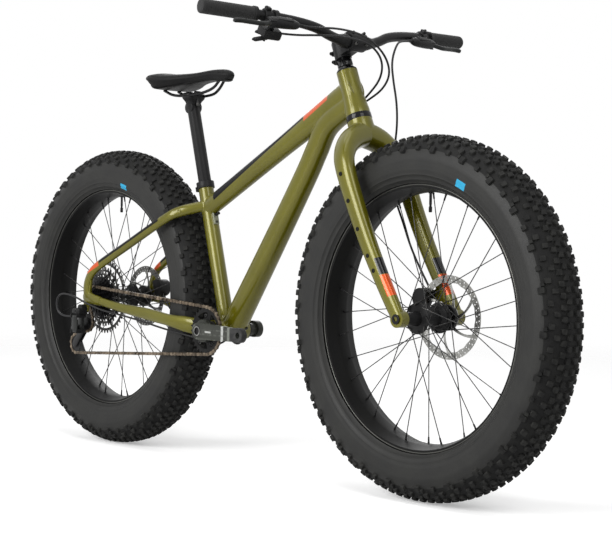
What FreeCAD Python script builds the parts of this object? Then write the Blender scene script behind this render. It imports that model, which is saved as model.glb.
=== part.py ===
"""Fat tire bike: rigid fork, disc brakes, one chainring and a wide cassette. Millimetres.
+X forward, +Y to the rider's left, +Z up, origin on the floor midway between the wheel axles."""
import FreeCAD
import Part
import math
import os

# Overall layout
tire_radius = 385.0
wheel_gap = 350.0
bracket_clearance = 74.0
crown_clearance = 90.0
wheelbase = 2 * tire_radius + wheel_gap
chainstay_length = tire_radius + bracket_clearance
bottom_bracket_drop = 63.0
seat_angle = 74.5
head_angle = 68.5
fork_rake = 48.0
axle_to_crown = tire_radius + crown_clearance

# Clearances and cutting overrun
overrun = 2.0
running_gap = 0.05
seat_gap = 0.3
route_share = 0.45
oval_points = 12
loft_steps = 2

# Rims
tire_section = 102.0
rim_radius = tire_radius - tire_section
rim_half_width = 40.0
rim_lip = 3.5
rim_seat_drop = 4.0
rim_shoulder_radius = rim_radius - rim_seat_drop
rim_bed_drop = 12.0
rim_bed_radius = rim_radius - rim_bed_drop
rim_bed_half_width = 16.0
rim_depth = 19.0
rim_inner_radius = rim_radius - rim_depth
rim_inner_half_width = 13.0
rim_side_height = 10.0
rim_side_radius = rim_radius - rim_side_height
valve_radius = 3.0
valve_length = 42.0

# Tires
tire_half_width = 58.0
tire_half_height = 56.0
tire_wall = 3.2
tire_bead_height = 5.0
tire_roundness_share = 0.84
outer_tire_steps = 6
inner_tire_steps = 4
tread_units = 30
knob_height = 6.0
knob_root = 3.5
knob_taper_share = 0.8
center_knob_offset = 13.0
center_knob_length = 19.0
center_knob_width = 17.0
shoulder_knob_lean = 42.0
shoulder_knob_length = 23.0
shoulder_knob_width = 15.0

# Hubs, axles and spokes
front_hub_width = 150.0
rear_hub_width = 197.0
front_flange_offset = 33.0
rear_left_flange_offset = 38.0
rear_right_flange_offset = 30.0
flange_radius = 33.0
flange_thickness = 3.5
flange_root_radius = 24.0
spoke_circle_radius = 28.5
hub_barrel_radius = 16.0
hub_end_radius = 11.5
rotor_seat_radius = 28.0
rotor_seat_length = 10.0
rotor_spigot_radius = 17.0
rotor_spigot_length = 5.0
front_axle_radius = 7.5
rear_axle_radius = 6.0
front_axle_bore_radius = 5.0
rear_axle_bore_radius = 3.5
axle_head_radius = 10.5
axle_head_length = 3.0
spokes_per_side = 16
spoke_radius = 1.0
spoke_cross = 3
spoke_head_gap = 1.2
spoke_rim_offset = 8.0

# Brakes
front_rotor_radius = 90.0
rear_rotor_radius = 80.0
rotor_thickness = 1.9
rotor_track = 15.0
rotor_hub_radius = 27.0
rotor_arm_count = 6
rotor_arm_width = 9.0
rotor_arm_lean = 32.0
front_rotor_offset = 63.0
pad_thickness = 4.0
pad_gap = 0.6
pad_length = 24.0
pad_height = 16.0
caliper_length = 44.0
caliper_wall = 10.0
caliper_inner_reach = 20.0
caliper_outer_reach = 14.0
front_caliper_angle = 152.0
rear_caliper_angle = 20.0
brake_boss_width = 10.0
brake_tab_rise = 60.0

# Head tube and headset
head_tube_length = 105.0
head_lower_radius = 27.5
head_upper_radius = 23.5
head_flare_length = 26.0
head_bore_radius = 22.0
lower_cup_height = 13.0
lower_cup_radius = 28.5
lower_bearing_radius = 25.5
lower_bearing_height = 8.0
cup_insert = 12.0
upper_cup_height = 3.0
upper_cup_radius = 23.5
cover_height = 9.0
cover_top_radius = 17.0
spacer_height = 20.0
spacer_radius = 17.5
top_cap_height = 5.0
steerer_radius = 14.3
steerer_base_radius = 19.8
steerer_bore_radius = 11.5
steerer_taper_start = 22.0
steerer_taper_end = 70.0
steerer_depth = 24.0

# Main tubes: stations lie on the seat tube axis or the steering axis
tube_wall = 2.0
top_tube_seat_station = 306.0
top_tube_head_station = 74.0
top_tube_seat_halves = (19.0, 23.0)
top_tube_middle_halves = (20.0, 24.0)
top_tube_head_halves = (20.0, 31.0)
down_tube_head_station = 44.0
down_tube_bend = (242.0, 803.0)
down_tube_throat = (204.0, 747.0)
down_tube_knee = (168.0, 690.0)
down_tube_middle = (60.0, 534.0)
down_tube_foot_offset = (17.0, 2.0)
down_tube_halves = (23.0, 26.5)
down_tube_foot_halves = (30.0, 28.0)
seat_tube_length = 368.0
seat_tube_radius = 18.5
shell_half_width = 50.0
shell_radius = 25.0
shell_bore_radius = 20.5
collar_height = 16.0
collar_wall = 3.5
collar_drop = 12.0
collar_lug_width = 14.0
collar_lug_reach = 12.0

# Stays and dropouts, forward of and above the rear axle or back from the bottom bracket
chainstay_root = (-6.0, 35.0, 0.0)
chainstay_yoke = (-46.0, 49.0, 5.0)
chainstay_bow = (-86.0, 64.0, 11.0)
chainstay_side = (-136.0, 75.0, 18.0)
chainstay_middle = (-225.0, 79.0, 29.0)
chainstay_neck = (-335.0, 91.0, 42.0)
chainstay_end_ahead = 34.0
chainstay_end_drop = 6.0
chainstay_front_halves = (9.0, 19.0)
chainstay_middle_halves = (9.0, 14.5)
chainstay_rear_halves = (7.0, 10.5)
seatstay_root_station = 312.0
seatstay_root_half_spread = 10.0
seatstay_shoulder_angle = 34.211
seatstay_shoulder_over_tire = 11.63
seatstay_shoulder_out = 53.0
seatstay_bend_angle = 35.179
seatstay_bend_over_tire = -32.65
seatstay_bend_out = 73.0
seatstay_end_ahead = 10.0
seatstay_end_rise = 66.0
seatstay_root_halves = (9.0, 13.0)
seatstay_halves = (8.0, 10.5)
dropout_thickness = 7.0
dropout_radius = 17.0
dropout_arm_width = 20.0
hanger_back = 8.0
hanger_drop = 31.0
hanger_radius = 10.5
brake_tab_height = 34.0

# Fork: crown and legs in the steering frame
fork_hub_gap = 0.3
crown_neck_radius = 28.0
crown_neck_height = 9.0
crown_center_depth = 27.0
crown_center_halves = (27.0, 24.0)
crown_quarter = (42.0, 31.0)
crown_quarter_halves = (26.0, 22.0)
crown_shoulder = (76.0, 57.0)
crown_shoulder_halves = (25.0, 19.0)
leg_offset = 88.0
leg_top_depth = 112.0
leg_top_ahead = 7.0
leg_top_halves = (23.0, 16.5)
leg_middle_halves = (20.0, 14.5)
leg_foot_halves = (16.0, 11.0)
leg_foot_rise = 10.0
fork_dropout_radius = 18.0
fork_dropout_thickness = 21.0
boss_radius = 2.5
boss_depth = 9.0
boss_depths = (150.0, 214.0, 278.0, 342.0, 385.0)

# Stem, bar, grips and controls
stem_height = 40.0
stem_length = 45.0
stem_wall = 4.5
stem_clamp_width = 46.0
stem_clamp_radius = 21.0
stem_neck_width = 34.0
faceplate_gap = 1.6
bar_half_width = 390.0
bar_clamp_radius = 15.9
bar_radius = 11.1
bar_clamp_half = 30.0
bar_taper = 26.0
bar_rise_start = 58.0
bar_rise_end = 128.0
bar_rise = 31.0
bar_rise_sweep = 9.0
bar_end_rise = 41.0
bar_end_sweep = 51.0
bar_bend_radius = 70.0
grip_length = 132.0
grip_radius = 15.5
lock_ring_width = 9.0
lock_ring_radius = 17.0
end_cap_thickness = 3.0
lever_clamp_station = 156.0
lever_clamp_width = 14.0
lever_clamp_wall = 4.0
lever_tilt = 32.0
master_length = 67.0
master_radius = 9.0
master_reach = 27.0
lever_pivot_reach = 35.0
lever_pivot_radius = 2.5
lever_eye_radius = 6.5
lever_thickness = 10.0
lever_ear_thickness = 3.0
lever_blade_length = 96.0
lever_blade_bow = 15.0
lever_blade_depth = 10.0
shifter_station = 178.0
shifter_drop = 26.0
shifter_length = 40.0
shifter_width = 34.0
shifter_height = 18.0
shifter_clamp_width = 10.0
paddle_pivot_radius = 2.5
paddle_thickness = 5.0
paddle_eye_radius = 7.0
upshift_reach = 26.0
downshift_reach = 34.0
upshift_forth_share = -0.5
downshift_forth_share = 0.5
paddle_width = 13.0

# Seatpost, clamp and saddle
seatpost_radius = 15.8
seatpost_length = 345.0
seatpost_head_station = 566.0
seatpost_wall = 2.4
post_head_radius = 15.0
post_head_half_width = 15.0
cradle_length = 44.0
cradle_wall = 4.0
rail_radius = 3.5
rail_half_spacing = 22.0
rail_clamp_half = 48.0
rail_rear_run = 92.0
rail_front_run = 96.0
rail_bend_radius = 16.0
saddle_base_rise = 27.0
saddle_base_thickness = 5.0
saddle_length = 275.0
saddle_nose_ahead = 152.0
saddle_height = 40.0
saddle_station_shares = (0.0, 0.07, 0.24, 0.46, 0.68, 0.88, 1.0)
saddle_width_shares = (0.2, 0.25, 0.3, 0.44, 0.84, 1.0, 0.86)
saddle_top_shares = (0.5, 0.8, 0.86, 0.78, 0.8, 0.97, 0.84)
saddle_half_width = 71.0
saddle_foot_share = 0.84
saddle_belly_share = 0.42
saddle_rim_share = 0.72
saddle_crown_share = 0.74

# Chain, sprockets and cranks
chain_pitch = 12.7
roller_radius = 3.85
roller_half_width = 1.0
plate_thickness = 0.7
plate_gap = 0.1
plate_half_height = 4.0
plate_overhang = 4.0
inner_half_gap = 1.05
tooth_root_depth = 4.0
tooth_root_half = 2.6
tooth_tip = 3.2
ring_teeth = 28
ring_offset = 68.0
ring_thickness = 1.8
ring_bore_radius = 21.0
ring_window_inner = 29.0
ring_window_outer = 44.0
ring_arm_width = 14.0
ring_arms = 5
cassette_teeth = (46, 37, 32, 28, 24, 21, 19, 17, 15, 13, 11)
cassette_inner_offset = 49.0
cog_spacing = 3.9
cog_thickness = 1.6
driven_cog = 9
freehub_radius = 16.0
freehub_flange_radius = 18.2
cog_window_inner_share = 0.5
cog_window_outer_share = 0.8
cog_windows = 6
cog_arm_width = 9.0
windowed_cogs = 2
crank_length = 175.0
spindle_radius = 14.5
spindle_bore_radius = 11.0
cup_thickness = 7.0
cup_depth = 12.0
cup_radius = 22.5
arm_hub_radius = 20.0
arm_hub_inner = 80.0
arm_hub_outer = 95.0
arm_tip_inner = 100.0
arm_tip_outer = 114.0
arm_tip_radius = 15.0
spider_radius = 27.0
pedal_thread_radius = 7.1

# Derailleur
pulley_teeth = 12
pulley_thickness = 1.8
pulley_bore_radius = 3.0
cage_pivot_back = 40.0
cage_pivot_drop = 83.0
guide_reach = 22.0
tension_reach = 58.0
cage_nominal_angle = 232.0
cage_search = 24.0
search_rounds = 50
cage_half_gap = 4.2
cage_plate = 1.6
cage_width = 10.0
cage_boss_radius = 9.0
cage_bolt_radius = 4.5
knuckle_radius = 11.0
knuckle_length = 16.0
knuckle_bolt_radius = 5.0
link_half_spread = 10.0
link_length = 40.0
link_width = 24.0
link_thickness = 4.0
link_eye_radius = 4.5
link_pin_radius = 1.6
link_plane_offset = 120.0
link_top_drop = 50.0
link_plane_back = 18.0
knuckle_block_half = 5.0
knuckle_cheek = 2.5

# Hoses and housings
hose_radius = 2.4
port_gap = 0.7
rear_hose_front_route = (
    ("right_lever", 0.5, 0.6, -0.1), ("right_lever", 8.5, 42.1, -2.0), ("crown", 19.9, -86.0, 192.9),
    ("crown", 48.9, -38.0, 180.9), ("crown", 57.9, 12.0, 148.9), ("crown", 43.9, 50.0, 108.9),
    ("crown", 7.9, 64.0, 74.9), ("crown", -36.1, 54.0, 48.9), ("crown", -74.1, 24.0, 18.9),
    ("crown", -104.1, 6.0, -15.1))
rear_hose_rear_route = (
    ("bracket", 43.3, 16.0, -4.0), ("bracket", 23.3, 24.0, -30.0), ("bracket", -10.7, 34.0, -37.0),
    ("bracket", -48.7, 46.0, -26.0), ("bracket", -88.7, 59.0, -17.0), ("bracket", -134.7, 68.0, -10.0),
    ("rear_axle", 270.0, 74.0, -65.0), ("rear_axle", 220.0, 78.0, -56.0), ("rear_axle", 170.0, 83.0, -47.0),
    ("rear_axle", 128.0, 85.0, -39.0), ("rear_axle", 100.0, 82.0, -25.0), ("rear_axle", 85.0, 82.0, 3.0))
shift_front_route = (
    ("shifter", 0.5, 1.3, -0.2), ("shifter", 10.5, 40.8, -1.7), ("crown", -16.1, -110.0, 178.9),
    ("crown", 23.9, -64.0, 176.9), ("crown", 46.9, -14.0, 162.9), ("crown", 41.9, 26.0, 132.9),
    ("crown", 15.9, 48.0, 96.9), ("crown", -20.1, 46.0, 62.9), ("crown", -56.1, 30.0, 26.9),
    ("crown", -88.1, 8.0, -9.1))
shift_rear_route = (
    ("bracket", 39.3, -16.0, 0.0), ("bracket", 21.3, -24.0, -28.0), ("bracket", -12.7, -34.0, -35.0),
    ("bracket", -48.7, -44.0, -25.0), ("bracket", -88.7, -58.0, -16.0), ("bracket", -134.7, -68.0, -9.0),
    ("rear_axle", 270.0, -74.0, -64.0), ("rear_axle", 220.0, -78.0, -55.0),
    ("rear_axle", 170.0, -85.0, -47.0), ("rear_axle", 120.0, -94.0, -39.0),
    ("rear_axle", 70.0, -106.0, -32.0), ("rear_axle", 20.0, -119.0, -17.0),
    ("rear_axle", -32.0, -129.0, 4.0), ("rear_axle", -88.5, -133.0, 7.0),
    ("rear_axle", -107.0, -132.0, -25.0), ("rear_axle", -88.5, -127.0, -57.0),
    ("rear_axle", -33.4, -122.0, -51.0))
front_hose_route = (
    ("left_lever", 0.5, -0.6, -0.1), ("left_lever", 8.5, -42.1, -3.0), ("crown", 11.9, 98.0, 176.9),
    ("crown", 21.9, 84.0, 136.9), ("crown", 25.9, 88.0, 92.9), ("crown", 25.9, 100.0, 46.9),
    ("crown", 16.9, 112.0, -1.1), ("crown", 4.9, 118.0, -45.1), ("crown", 1.9, 114.0, -91.1),
    ("crown", 14.9, 100.0, -135.1), ("crown", 37.9, 86.0, -177.1), ("front_axle", -156.0, 78.5, 201.0),
    ("front_axle", -131.0, 74.0, 155.0), ("front_axle", -102.0, 72.5, 109.0),
    ("front_axle", -68.0, 71.0, 64.0))

ahead = FreeCAD.Vector(1, 0, 0)
left = FreeCAD.Vector(0, 1, 0)
above = FreeCAD.Vector(0, 0, 1)


def vec(x, y, z):
    return FreeCAD.Vector(x, y, z)


def unit(v):
    return v * (1.0 / v.Length)


def cylinder(base, axis, radius, length):
    return Part.makeCylinder(radius, length, base, axis)


def ring(base, axis, outer, inner, length):
    solid = cylinder(base, axis, outer, length)
    hole = cylinder(base - axis * overrun, axis, inner, length + 2 * overrun)
    return solid.cut(hole)


def prism(points, sweep):
    return Part.Face(Part.makePolygon(list(points) + [points[0]])).extrude(sweep)


def turned(profile, origin, axis, side):
    points = [origin + side * r + axis * h for r, h in profile]
    face = Part.Face(Part.makePolygon(points + [points[0]]))
    return face.revolve(origin, axis, 360)


def block(center, axes, halves):
    a, b, c = (axis * half for axis, half in zip(axes, halves))
    corners = [center - a - b - c, center + a - b - c, center + a + b - c, center - a + b - c]
    return prism(corners, c * 2)


def fused(shapes):
    return shapes[0].multiFuse(shapes[1:]).removeSplitter()


def group(shapes):
    return Part.makeCompound(shapes)


def oval(center, across, up, half_across, half_up):
    turns = [2 * math.pi * k / oval_points for k in range(oval_points)]
    curve = Part.BSplineCurve()
    points = [center + across * (half_across * math.cos(t)) + up * (half_up * math.sin(t)) for t in turns]
    curve.interpolate(points,
                      PeriodicFlag=True)
    return Part.Wire(curve.toShape())


def smoothed(stations):
    """More stations on a smooth curve through the ones given, each its centre and its two halves."""
    rows = [[*center, *halves] for center, halves in stations]
    rows = [rows[0], *rows, rows[-1]]
    finer = []
    for p0, p1, p2, p3 in zip(rows, rows[1:], rows[2:], rows[3:]):
        for k in range(loft_steps):
            t = k / loft_steps
            finer.append([b + (c - a + (2 * a - 5 * b + 4 * c - d + (3 * (b - c) + d - a) * t) * t) * t / 2
                          for a, b, c, d in zip(p0, p1, p2, p3)])
    finer.append(rows[-1])
    return [(vec(*row[:3]), row[3:]) for row in finer]


def oval_loft(stations, side, thinner=0):
    """A solid through oval sections: each station is its centre and its halves along side and across it."""
    centers = [station[0] for station in stations]
    wires = []
    for i, (center, halves) in enumerate(stations):
        along = unit(centers[min(i + 1, len(centers) - 1)] - centers[max(i - 1, 0)])
        across = unit(side - along * side.dot(along))
        wires.append(oval(center, across, along.cross(across), halves[0] - thinner, halves[1] - thinner))
    return Part.makeLoft(wires, True, True)


def hollow_loft(stations, side):
    """The outer solid and the tube left when a thinner copy, run past both ends, is taken out of it."""
    first = unit(stations[0][0] - stations[1][0]) * overrun
    last = unit(stations[-1][0] - stations[-2][0]) * overrun
    longer = [(stations[0][0] + first, stations[0][1]), *stations[1:-1],
              (stations[-1][0] + last, stations[-1][1])]
    outer = oval_loft(stations, side)
    return outer, outer.cut(oval_loft(longer, side, tube_wall))


def mirrored(shape):
    return shape.mirror(vec(0, 0, 0), left)


def rounded_route(points, radius=None):
    """Straight runs joined by tangent arcs, each as large as its two runs allow or of the radius given."""
    edges = []
    radii = []
    start = points[0]
    for before, corner, after in zip(points, points[1:], points[2:]):
        back = unit(before - corner)
        forth = unit(after - corner)
        half_turn = (math.pi - back.getAngle(forth)) / 2
        reach = min((before - corner).Length, (after - corner).Length)
        bend = radius or route_share * reach / math.tan(half_turn)
        setback = bend * math.tan(half_turn)
        middle = unit(back + forth)
        crest = corner + middle * (bend / math.cos(half_turn) - bend)
        arc_start = corner + back * setback
        arc_end = corner + forth * setback
        edges.append(Part.LineSegment(start, arc_start).toShape())
        edges.append(Part.Arc(arc_start, crest, arc_end).toShape())
        radii.append(bend)
        start = arc_end
    edges.append(Part.LineSegment(start, points[-1]).toShape())
    return Part.Wire(edges), radii


def bent_tube(points, radius, bend=None):
    path, radii = rounded_route(points, bend)
    circle = Part.Wire(Part.makeCircle(radius, points[0], unit(points[1] - points[0])))
    return path.makePipeShell([circle], True, False), path.Length, radii


def route_places(route):
    """The route's points, each set off from the piece that it keeps to."""
    lever = bar_local(lever_clamp_station + master_length, master_reach, 0)
    shifter = bar_local(shifter_station + shifter_length / 2, 0, -shifter_drop - shifter_height / 2)
    anchors = {"left_lever": lever, "right_lever": vec(lever.x, -lever.y, lever.z),
               "shifter": vec(shifter.x, -shifter.y, shifter.z), "crown": crown_at, "bracket": bracket_at,
               "rear_axle": rear_axle_at, "front_axle": front_axle_at}
    return [anchors[key] + vec(*offset) for key, *offset in route]


def cord(name, route, radius):
    solid, length, radii = bent_tube(route_places(route), radius)
    expected = math.pi * radius ** 2 * length
    print(name, "length", round(length), "least bend", round(min(radii), 1),
          "volume share", round(solid.Volume / expected, 4))
    return solid


# Reference points and directions
front_axle_at = vec(wheelbase / 2, 0, tire_radius)
rear_axle_at = vec(-wheelbase / 2, 0, tire_radius)
bracket_at = vec(rear_axle_at.x + math.sqrt(chainstay_length ** 2 - bottom_bracket_drop ** 2), 0,
                 tire_radius - bottom_bracket_drop)
seat_up = vec(-math.cos(math.radians(seat_angle)), 0, math.sin(math.radians(seat_angle)))
steer_up = vec(-math.cos(math.radians(head_angle)), 0, math.sin(math.radians(head_angle)))
steer_ahead = vec(steer_up.z, 0, -steer_up.x)
crown_reach = math.sqrt(axle_to_crown ** 2 - fork_rake ** 2)
crown_at = front_axle_at - steer_ahead * fork_rake + steer_up * crown_reach
head_bottom = lower_cup_height
head_top = head_bottom + head_tube_length
stem_bottom = head_top + upper_cup_height + cover_height + spacer_height
stem_top = stem_bottom + stem_height
bar_level = stem_bottom + stem_height / 2


def seat_at(station):
    return bracket_at + seat_up * station


def steer_at(ahead_by, left_by, station):
    return crown_at + steer_ahead * ahead_by + left * left_by + steer_up * station


def from_rear_axle(ahead_by, left_by, rise):
    return rear_axle_at + vec(ahead_by, left_by, rise)


def over_rear_tire(angle, over, left_by):
    return rear_axle_at + turn_at(angle) * (tire_radius + over) + left * left_by


def from_bracket(ahead_by, left_by, rise):
    return bracket_at + vec(ahead_by, left_by, rise)


nodes = {}


# Head tube, headset and steerer
def head_outline(bore):
    flare_top = head_bottom + head_flare_length
    profile = [(bore, head_bottom), (head_lower_radius, head_bottom), (head_upper_radius, flare_top),
               (head_upper_radius, head_top), (bore, head_top)]
    return turned(profile, crown_at, steer_up, steer_ahead)


def headset_cups():
    floor = seat_gap
    inner = steerer_base_radius + running_gap
    lower = [(lower_bearing_radius, floor), (lower_cup_radius, floor), (lower_cup_radius, head_bottom),
             (head_bore_radius, head_bottom), (head_bore_radius, head_bottom + cup_insert),
             (inner, head_bottom + cup_insert), (inner, floor + lower_bearing_height),
             (lower_bearing_radius, floor + lower_bearing_height)]
    upper_inner = steerer_radius + running_gap
    cup_top = head_top + upper_cup_height
    upper = [(upper_inner, head_top - cup_insert), (head_bore_radius, head_top - cup_insert),
             (head_bore_radius, head_top), (upper_cup_radius, head_top), (upper_cup_radius, cup_top),
             (upper_inner, cup_top)]
    bearing = ring(steer_at(0, 0, floor), steer_up, lower_bearing_radius, inner, lower_bearing_height)
    cups = [turned(profile, crown_at, steer_up, steer_ahead) for profile in (lower, upper)]
    return group(cups + [bearing])


def steerer_tube():
    top = stem_top - end_cap_thickness
    profile = [(steerer_bore_radius, -steerer_depth), (steerer_base_radius, -steerer_depth),
               (steerer_base_radius, steerer_taper_start), (steerer_radius, steerer_taper_end),
               (steerer_radius, top), (steerer_bore_radius, top)]
    return turned(profile, crown_at, steer_up, steer_ahead)


def headset_spacers():
    cover_bottom = head_top + upper_cup_height + seat_gap
    cover_top = head_top + upper_cup_height + cover_height
    cover = [(steerer_radius, cover_bottom), (upper_cup_radius, cover_bottom), (cover_top_radius, cover_top),
             (steerer_radius, cover_top)]
    half = spacer_height / 2
    spacers = [ring(steer_at(0, 0, cover_top + i * half), steer_up, spacer_radius, steerer_radius, half)
               for i in range(2)]
    cap = cylinder(steer_at(0, 0, stem_top), steer_up, spacer_radius, top_cap_height)
    return [turned(cover, crown_at, steer_up, steer_ahead), *spacers, cap]


# Main tubes
def pinned(place):
    return vec(place[0], 0, place[1])


def top_tube_stations():
    seat_end = seat_at(top_tube_seat_station)
    head_end = steer_at(0, 0, top_tube_head_station)
    middle = (seat_end + head_end) * (1 / 2)
    return smoothed([(seat_end, top_tube_seat_halves), (middle, top_tube_middle_halves),
                     (head_end, top_tube_head_halves)])


def down_tube_stations():
    foot = bracket_at + vec(down_tube_foot_offset[0], 0, down_tube_foot_offset[1])
    places = [pinned(place) for place in (down_tube_bend, down_tube_throat, down_tube_knee, down_tube_middle)]
    stations = [(steer_at(0, 0, down_tube_head_station), down_tube_halves)]
    stations += [(place, down_tube_halves) for place in places]
    return smoothed(stations + [(foot, down_tube_foot_halves)])


def hose_ports():
    """The holes where the rear hose and the shift housing go into the down tube and come out of it."""
    ends = [route[-2:] for route in (rear_hose_front_route, shift_front_route)]
    ends += [route[:2] for route in (rear_hose_rear_route, shift_rear_route)]
    ports = []
    for start, end in map(route_places, ends):
        ports.append(cylinder(start, end - start, hose_radius + port_gap, (end - start).Length))
    return ports


def main_tubes():
    head_solid = head_outline(0)
    seat_solid = cylinder(bracket_at, seat_up, seat_tube_radius, seat_tube_length)
    shell_solid = cylinder(bracket_at - left * shell_half_width, left, shell_radius, 2 * shell_half_width)
    top_outer, top_skin = hollow_loft(top_tube_stations(), left)
    down_outer, down_skin = hollow_loft(down_tube_stations(), left)
    post_bore = seatpost_radius + running_gap
    nodes["head_tube"] = head_outline(head_bore_radius)
    nodes["top_tube"] = top_skin.cut(head_solid).cut(seat_solid)
    for other in [head_solid, top_outer, shell_solid, seat_solid] + hose_ports():
        down_skin = down_skin.cut(other)
    nodes["down_tube"] = down_skin
    seat_solid = seat_solid.cut(cylinder(bracket_at, seat_up, post_bore, seat_tube_length + overrun))
    nodes["seat_tube"] = seat_solid.cut(
        shell_solid)
    nodes["bottom_bracket_shell"] = ring(bracket_at - left * shell_half_width, left, shell_radius,
                                         shell_bore_radius, 2 * shell_half_width)
    cup_room = cylinder(bracket_at - left * crank_side(), left, cup_radius + seat_gap, 2 * crank_side())
    return [head_solid, seat_solid, shell_solid, cup_room, top_outer, down_outer]


def crank_side():
    return shell_half_width + cup_thickness + seat_gap


def seat_collar():
    base = seat_at(seat_tube_length - collar_drop)
    outer = seat_tube_radius + collar_wall
    band = ring(base, seat_up, outer, seat_tube_radius, collar_drop)
    lip_base = seat_at(seat_tube_length)
    lip = ring(lip_base, seat_up, outer, seatpost_radius + running_gap, collar_height - collar_drop)
    seat_back = vec(-seat_up.z, 0, seat_up.x)
    lug_center = (base + seat_back * (outer + collar_lug_reach / 2 - collar_wall / 2)
                  + seat_up * (collar_drop / 2))
    lug = block(lug_center, (seat_back, left, seat_up),
                (collar_lug_reach / 2, collar_lug_width / 2, collar_drop / 2))
    return fused([band, lip, lug])


# Stays and dropouts
def dropout_inner():
    return rear_hub_width / 2


def rear_rotor_offset():
    return dropout_inner() - caliper_half_width()


def chainstay_stations():
    end = from_rear_axle(chainstay_end_ahead, dropout_inner() + chainstay_rear_halves[0] / 2,
                         -chainstay_end_drop)
    front = [from_bracket(*place) for place in (chainstay_root, chainstay_yoke, chainstay_bow, chainstay_side,
                                                chainstay_middle, chainstay_neck)]
    halves = [chainstay_front_halves] * 3 + [chainstay_middle_halves] * 2 + [chainstay_rear_halves]
    return smoothed(list(zip(front, halves)) + [(end, chainstay_rear_halves)])


def seatstay_stations():
    root = seat_at(seatstay_root_station) + left * seatstay_root_half_spread
    end = from_rear_axle(seatstay_end_ahead, dropout_inner() + seatstay_halves[0] / 2, seatstay_end_rise)
    bend = over_rear_tire(seatstay_bend_angle, seatstay_bend_over_tire, seatstay_bend_out)
    shoulder = over_rear_tire(seatstay_shoulder_angle, seatstay_shoulder_over_tire, seatstay_shoulder_out)
    return smoothed([(root, seatstay_root_halves), (shoulder, seatstay_root_halves),
                     (bend, seatstay_halves), ((bend + end) * (1 / 2), seatstay_halves),
                     (end, seatstay_halves)])


def plate_arm(start, end, width, base):
    along = unit(end - start)
    across = along.cross(left) * (width / 2)
    lifted = [point + left * base for point in (start - across, end - across, end + across, start + across)]
    return prism(lifted, left * dropout_thickness)


def dropout(side):
    base = dropout_inner() if side > 0 else -dropout_inner() - dropout_thickness
    axle = rear_axle_at
    chain_end = axle + vec(chainstay_end_ahead, 0, -chainstay_end_drop)
    seat_end = axle + vec(seatstay_end_ahead, 0, seatstay_end_rise)
    pieces = [cylinder(axle + left * base, left, dropout_radius, dropout_thickness),
              plate_arm(axle, chain_end, dropout_arm_width, base),
              plate_arm(axle, seat_end, dropout_arm_width, base)]
    if side > 0:
        pad_reach = rear_rotor_radius - rotor_track / 2
        tab_end = axle + turn_at(rear_caliper_angle) * pad_reach
        pieces.append(plate_arm(axle, tab_end, brake_tab_height, base))
    else:
        hanger = axle - vec(hanger_back, 0, hanger_drop)
        pieces.append(plate_arm(axle, hanger, 2 * hanger_radius, base))
        pieces.append(cylinder(hanger + left * base, left, hanger_radius, dropout_thickness))
    plate = fused(pieces)
    plate = plate.cut(cylinder(axle + left * (base - overrun), left, rear_axle_radius,
                               dropout_thickness + 2 * overrun))
    if side < 0:
        hanger_hole = cylinder(hanger + left * (base - overrun), left, knuckle_bolt_radius,
                               dropout_thickness + 2 * overrun)
        plate = plate.cut(hanger_hole)
    return plate


def turn_at(degrees):
    return vec(math.cos(math.radians(degrees)), 0, math.sin(math.radians(degrees)))


def rear_triangle(front_solids):
    dropouts = [dropout(1), dropout(-1)]
    stays = {}
    for name, stations in (("chainstays", chainstay_stations()), ("seatstays", seatstay_stations())):
        outer, skin = hollow_loft(stations, left)
        stays[name] = [skin, mirrored(skin)]
    for name, pair in stays.items():
        trimmed = []
        for stay, plate in zip(pair, dropouts):
            for other in front_solids + [plate]:
                stay = stay.cut(other)
            trimmed.append(max(stay.Solids, key=lambda solid: solid.Volume))
        nodes[name] = group(trimmed)
    nodes["dropouts"] = group(dropouts)


# Fork
def crown_loft():
    path = [(0, crown_center_depth, crown_center_halves), (*crown_quarter, crown_quarter_halves),
            (*crown_shoulder, crown_shoulder_halves), (leg_offset, leg_top_depth, leg_top_halves)]
    stations = []
    for out, depth, halves in path:
        lean = leg_top_ahead * depth / leg_top_depth
        stations.append((steer_at(lean, out, -depth), halves))
    return oval_loft(smoothed(stations), steer_ahead)


def fork_crown():
    half = crown_loft()
    neck_profile = [(0, -crown_center_depth), (crown_neck_radius, -crown_center_depth),
                    (crown_neck_radius, -crown_neck_height), (steerer_base_radius + rim_lip, 0), (0, 0)]
    neck = turned(neck_profile, crown_at, steer_up, steer_ahead)
    bore = cylinder(steer_at(0, 0, -steerer_depth), steer_up, steerer_base_radius, steerer_depth + overrun)
    crown = fused([half, mirrored(half), neck]).cut(bore)
    leg = leg_loft()
    return crown.cut(leg).cut(mirrored(leg))


def leg_line(depth):
    share = (depth - leg_top_depth) / (crown_reach - leg_top_depth)
    return leg_top_ahead + (fork_rake - leg_top_ahead) * share


def leg_loft():
    foot_depth = crown_reach - leg_foot_rise
    middle_depth = (leg_top_depth + foot_depth) / 2
    path = [(leg_top_depth, leg_top_halves), (middle_depth, leg_middle_halves), (foot_depth, leg_foot_halves)]
    stations = [(steer_at(leg_line(depth), leg_offset, -depth), halves) for depth, halves in path]
    return oval_loft(smoothed(stations), steer_ahead)


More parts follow.
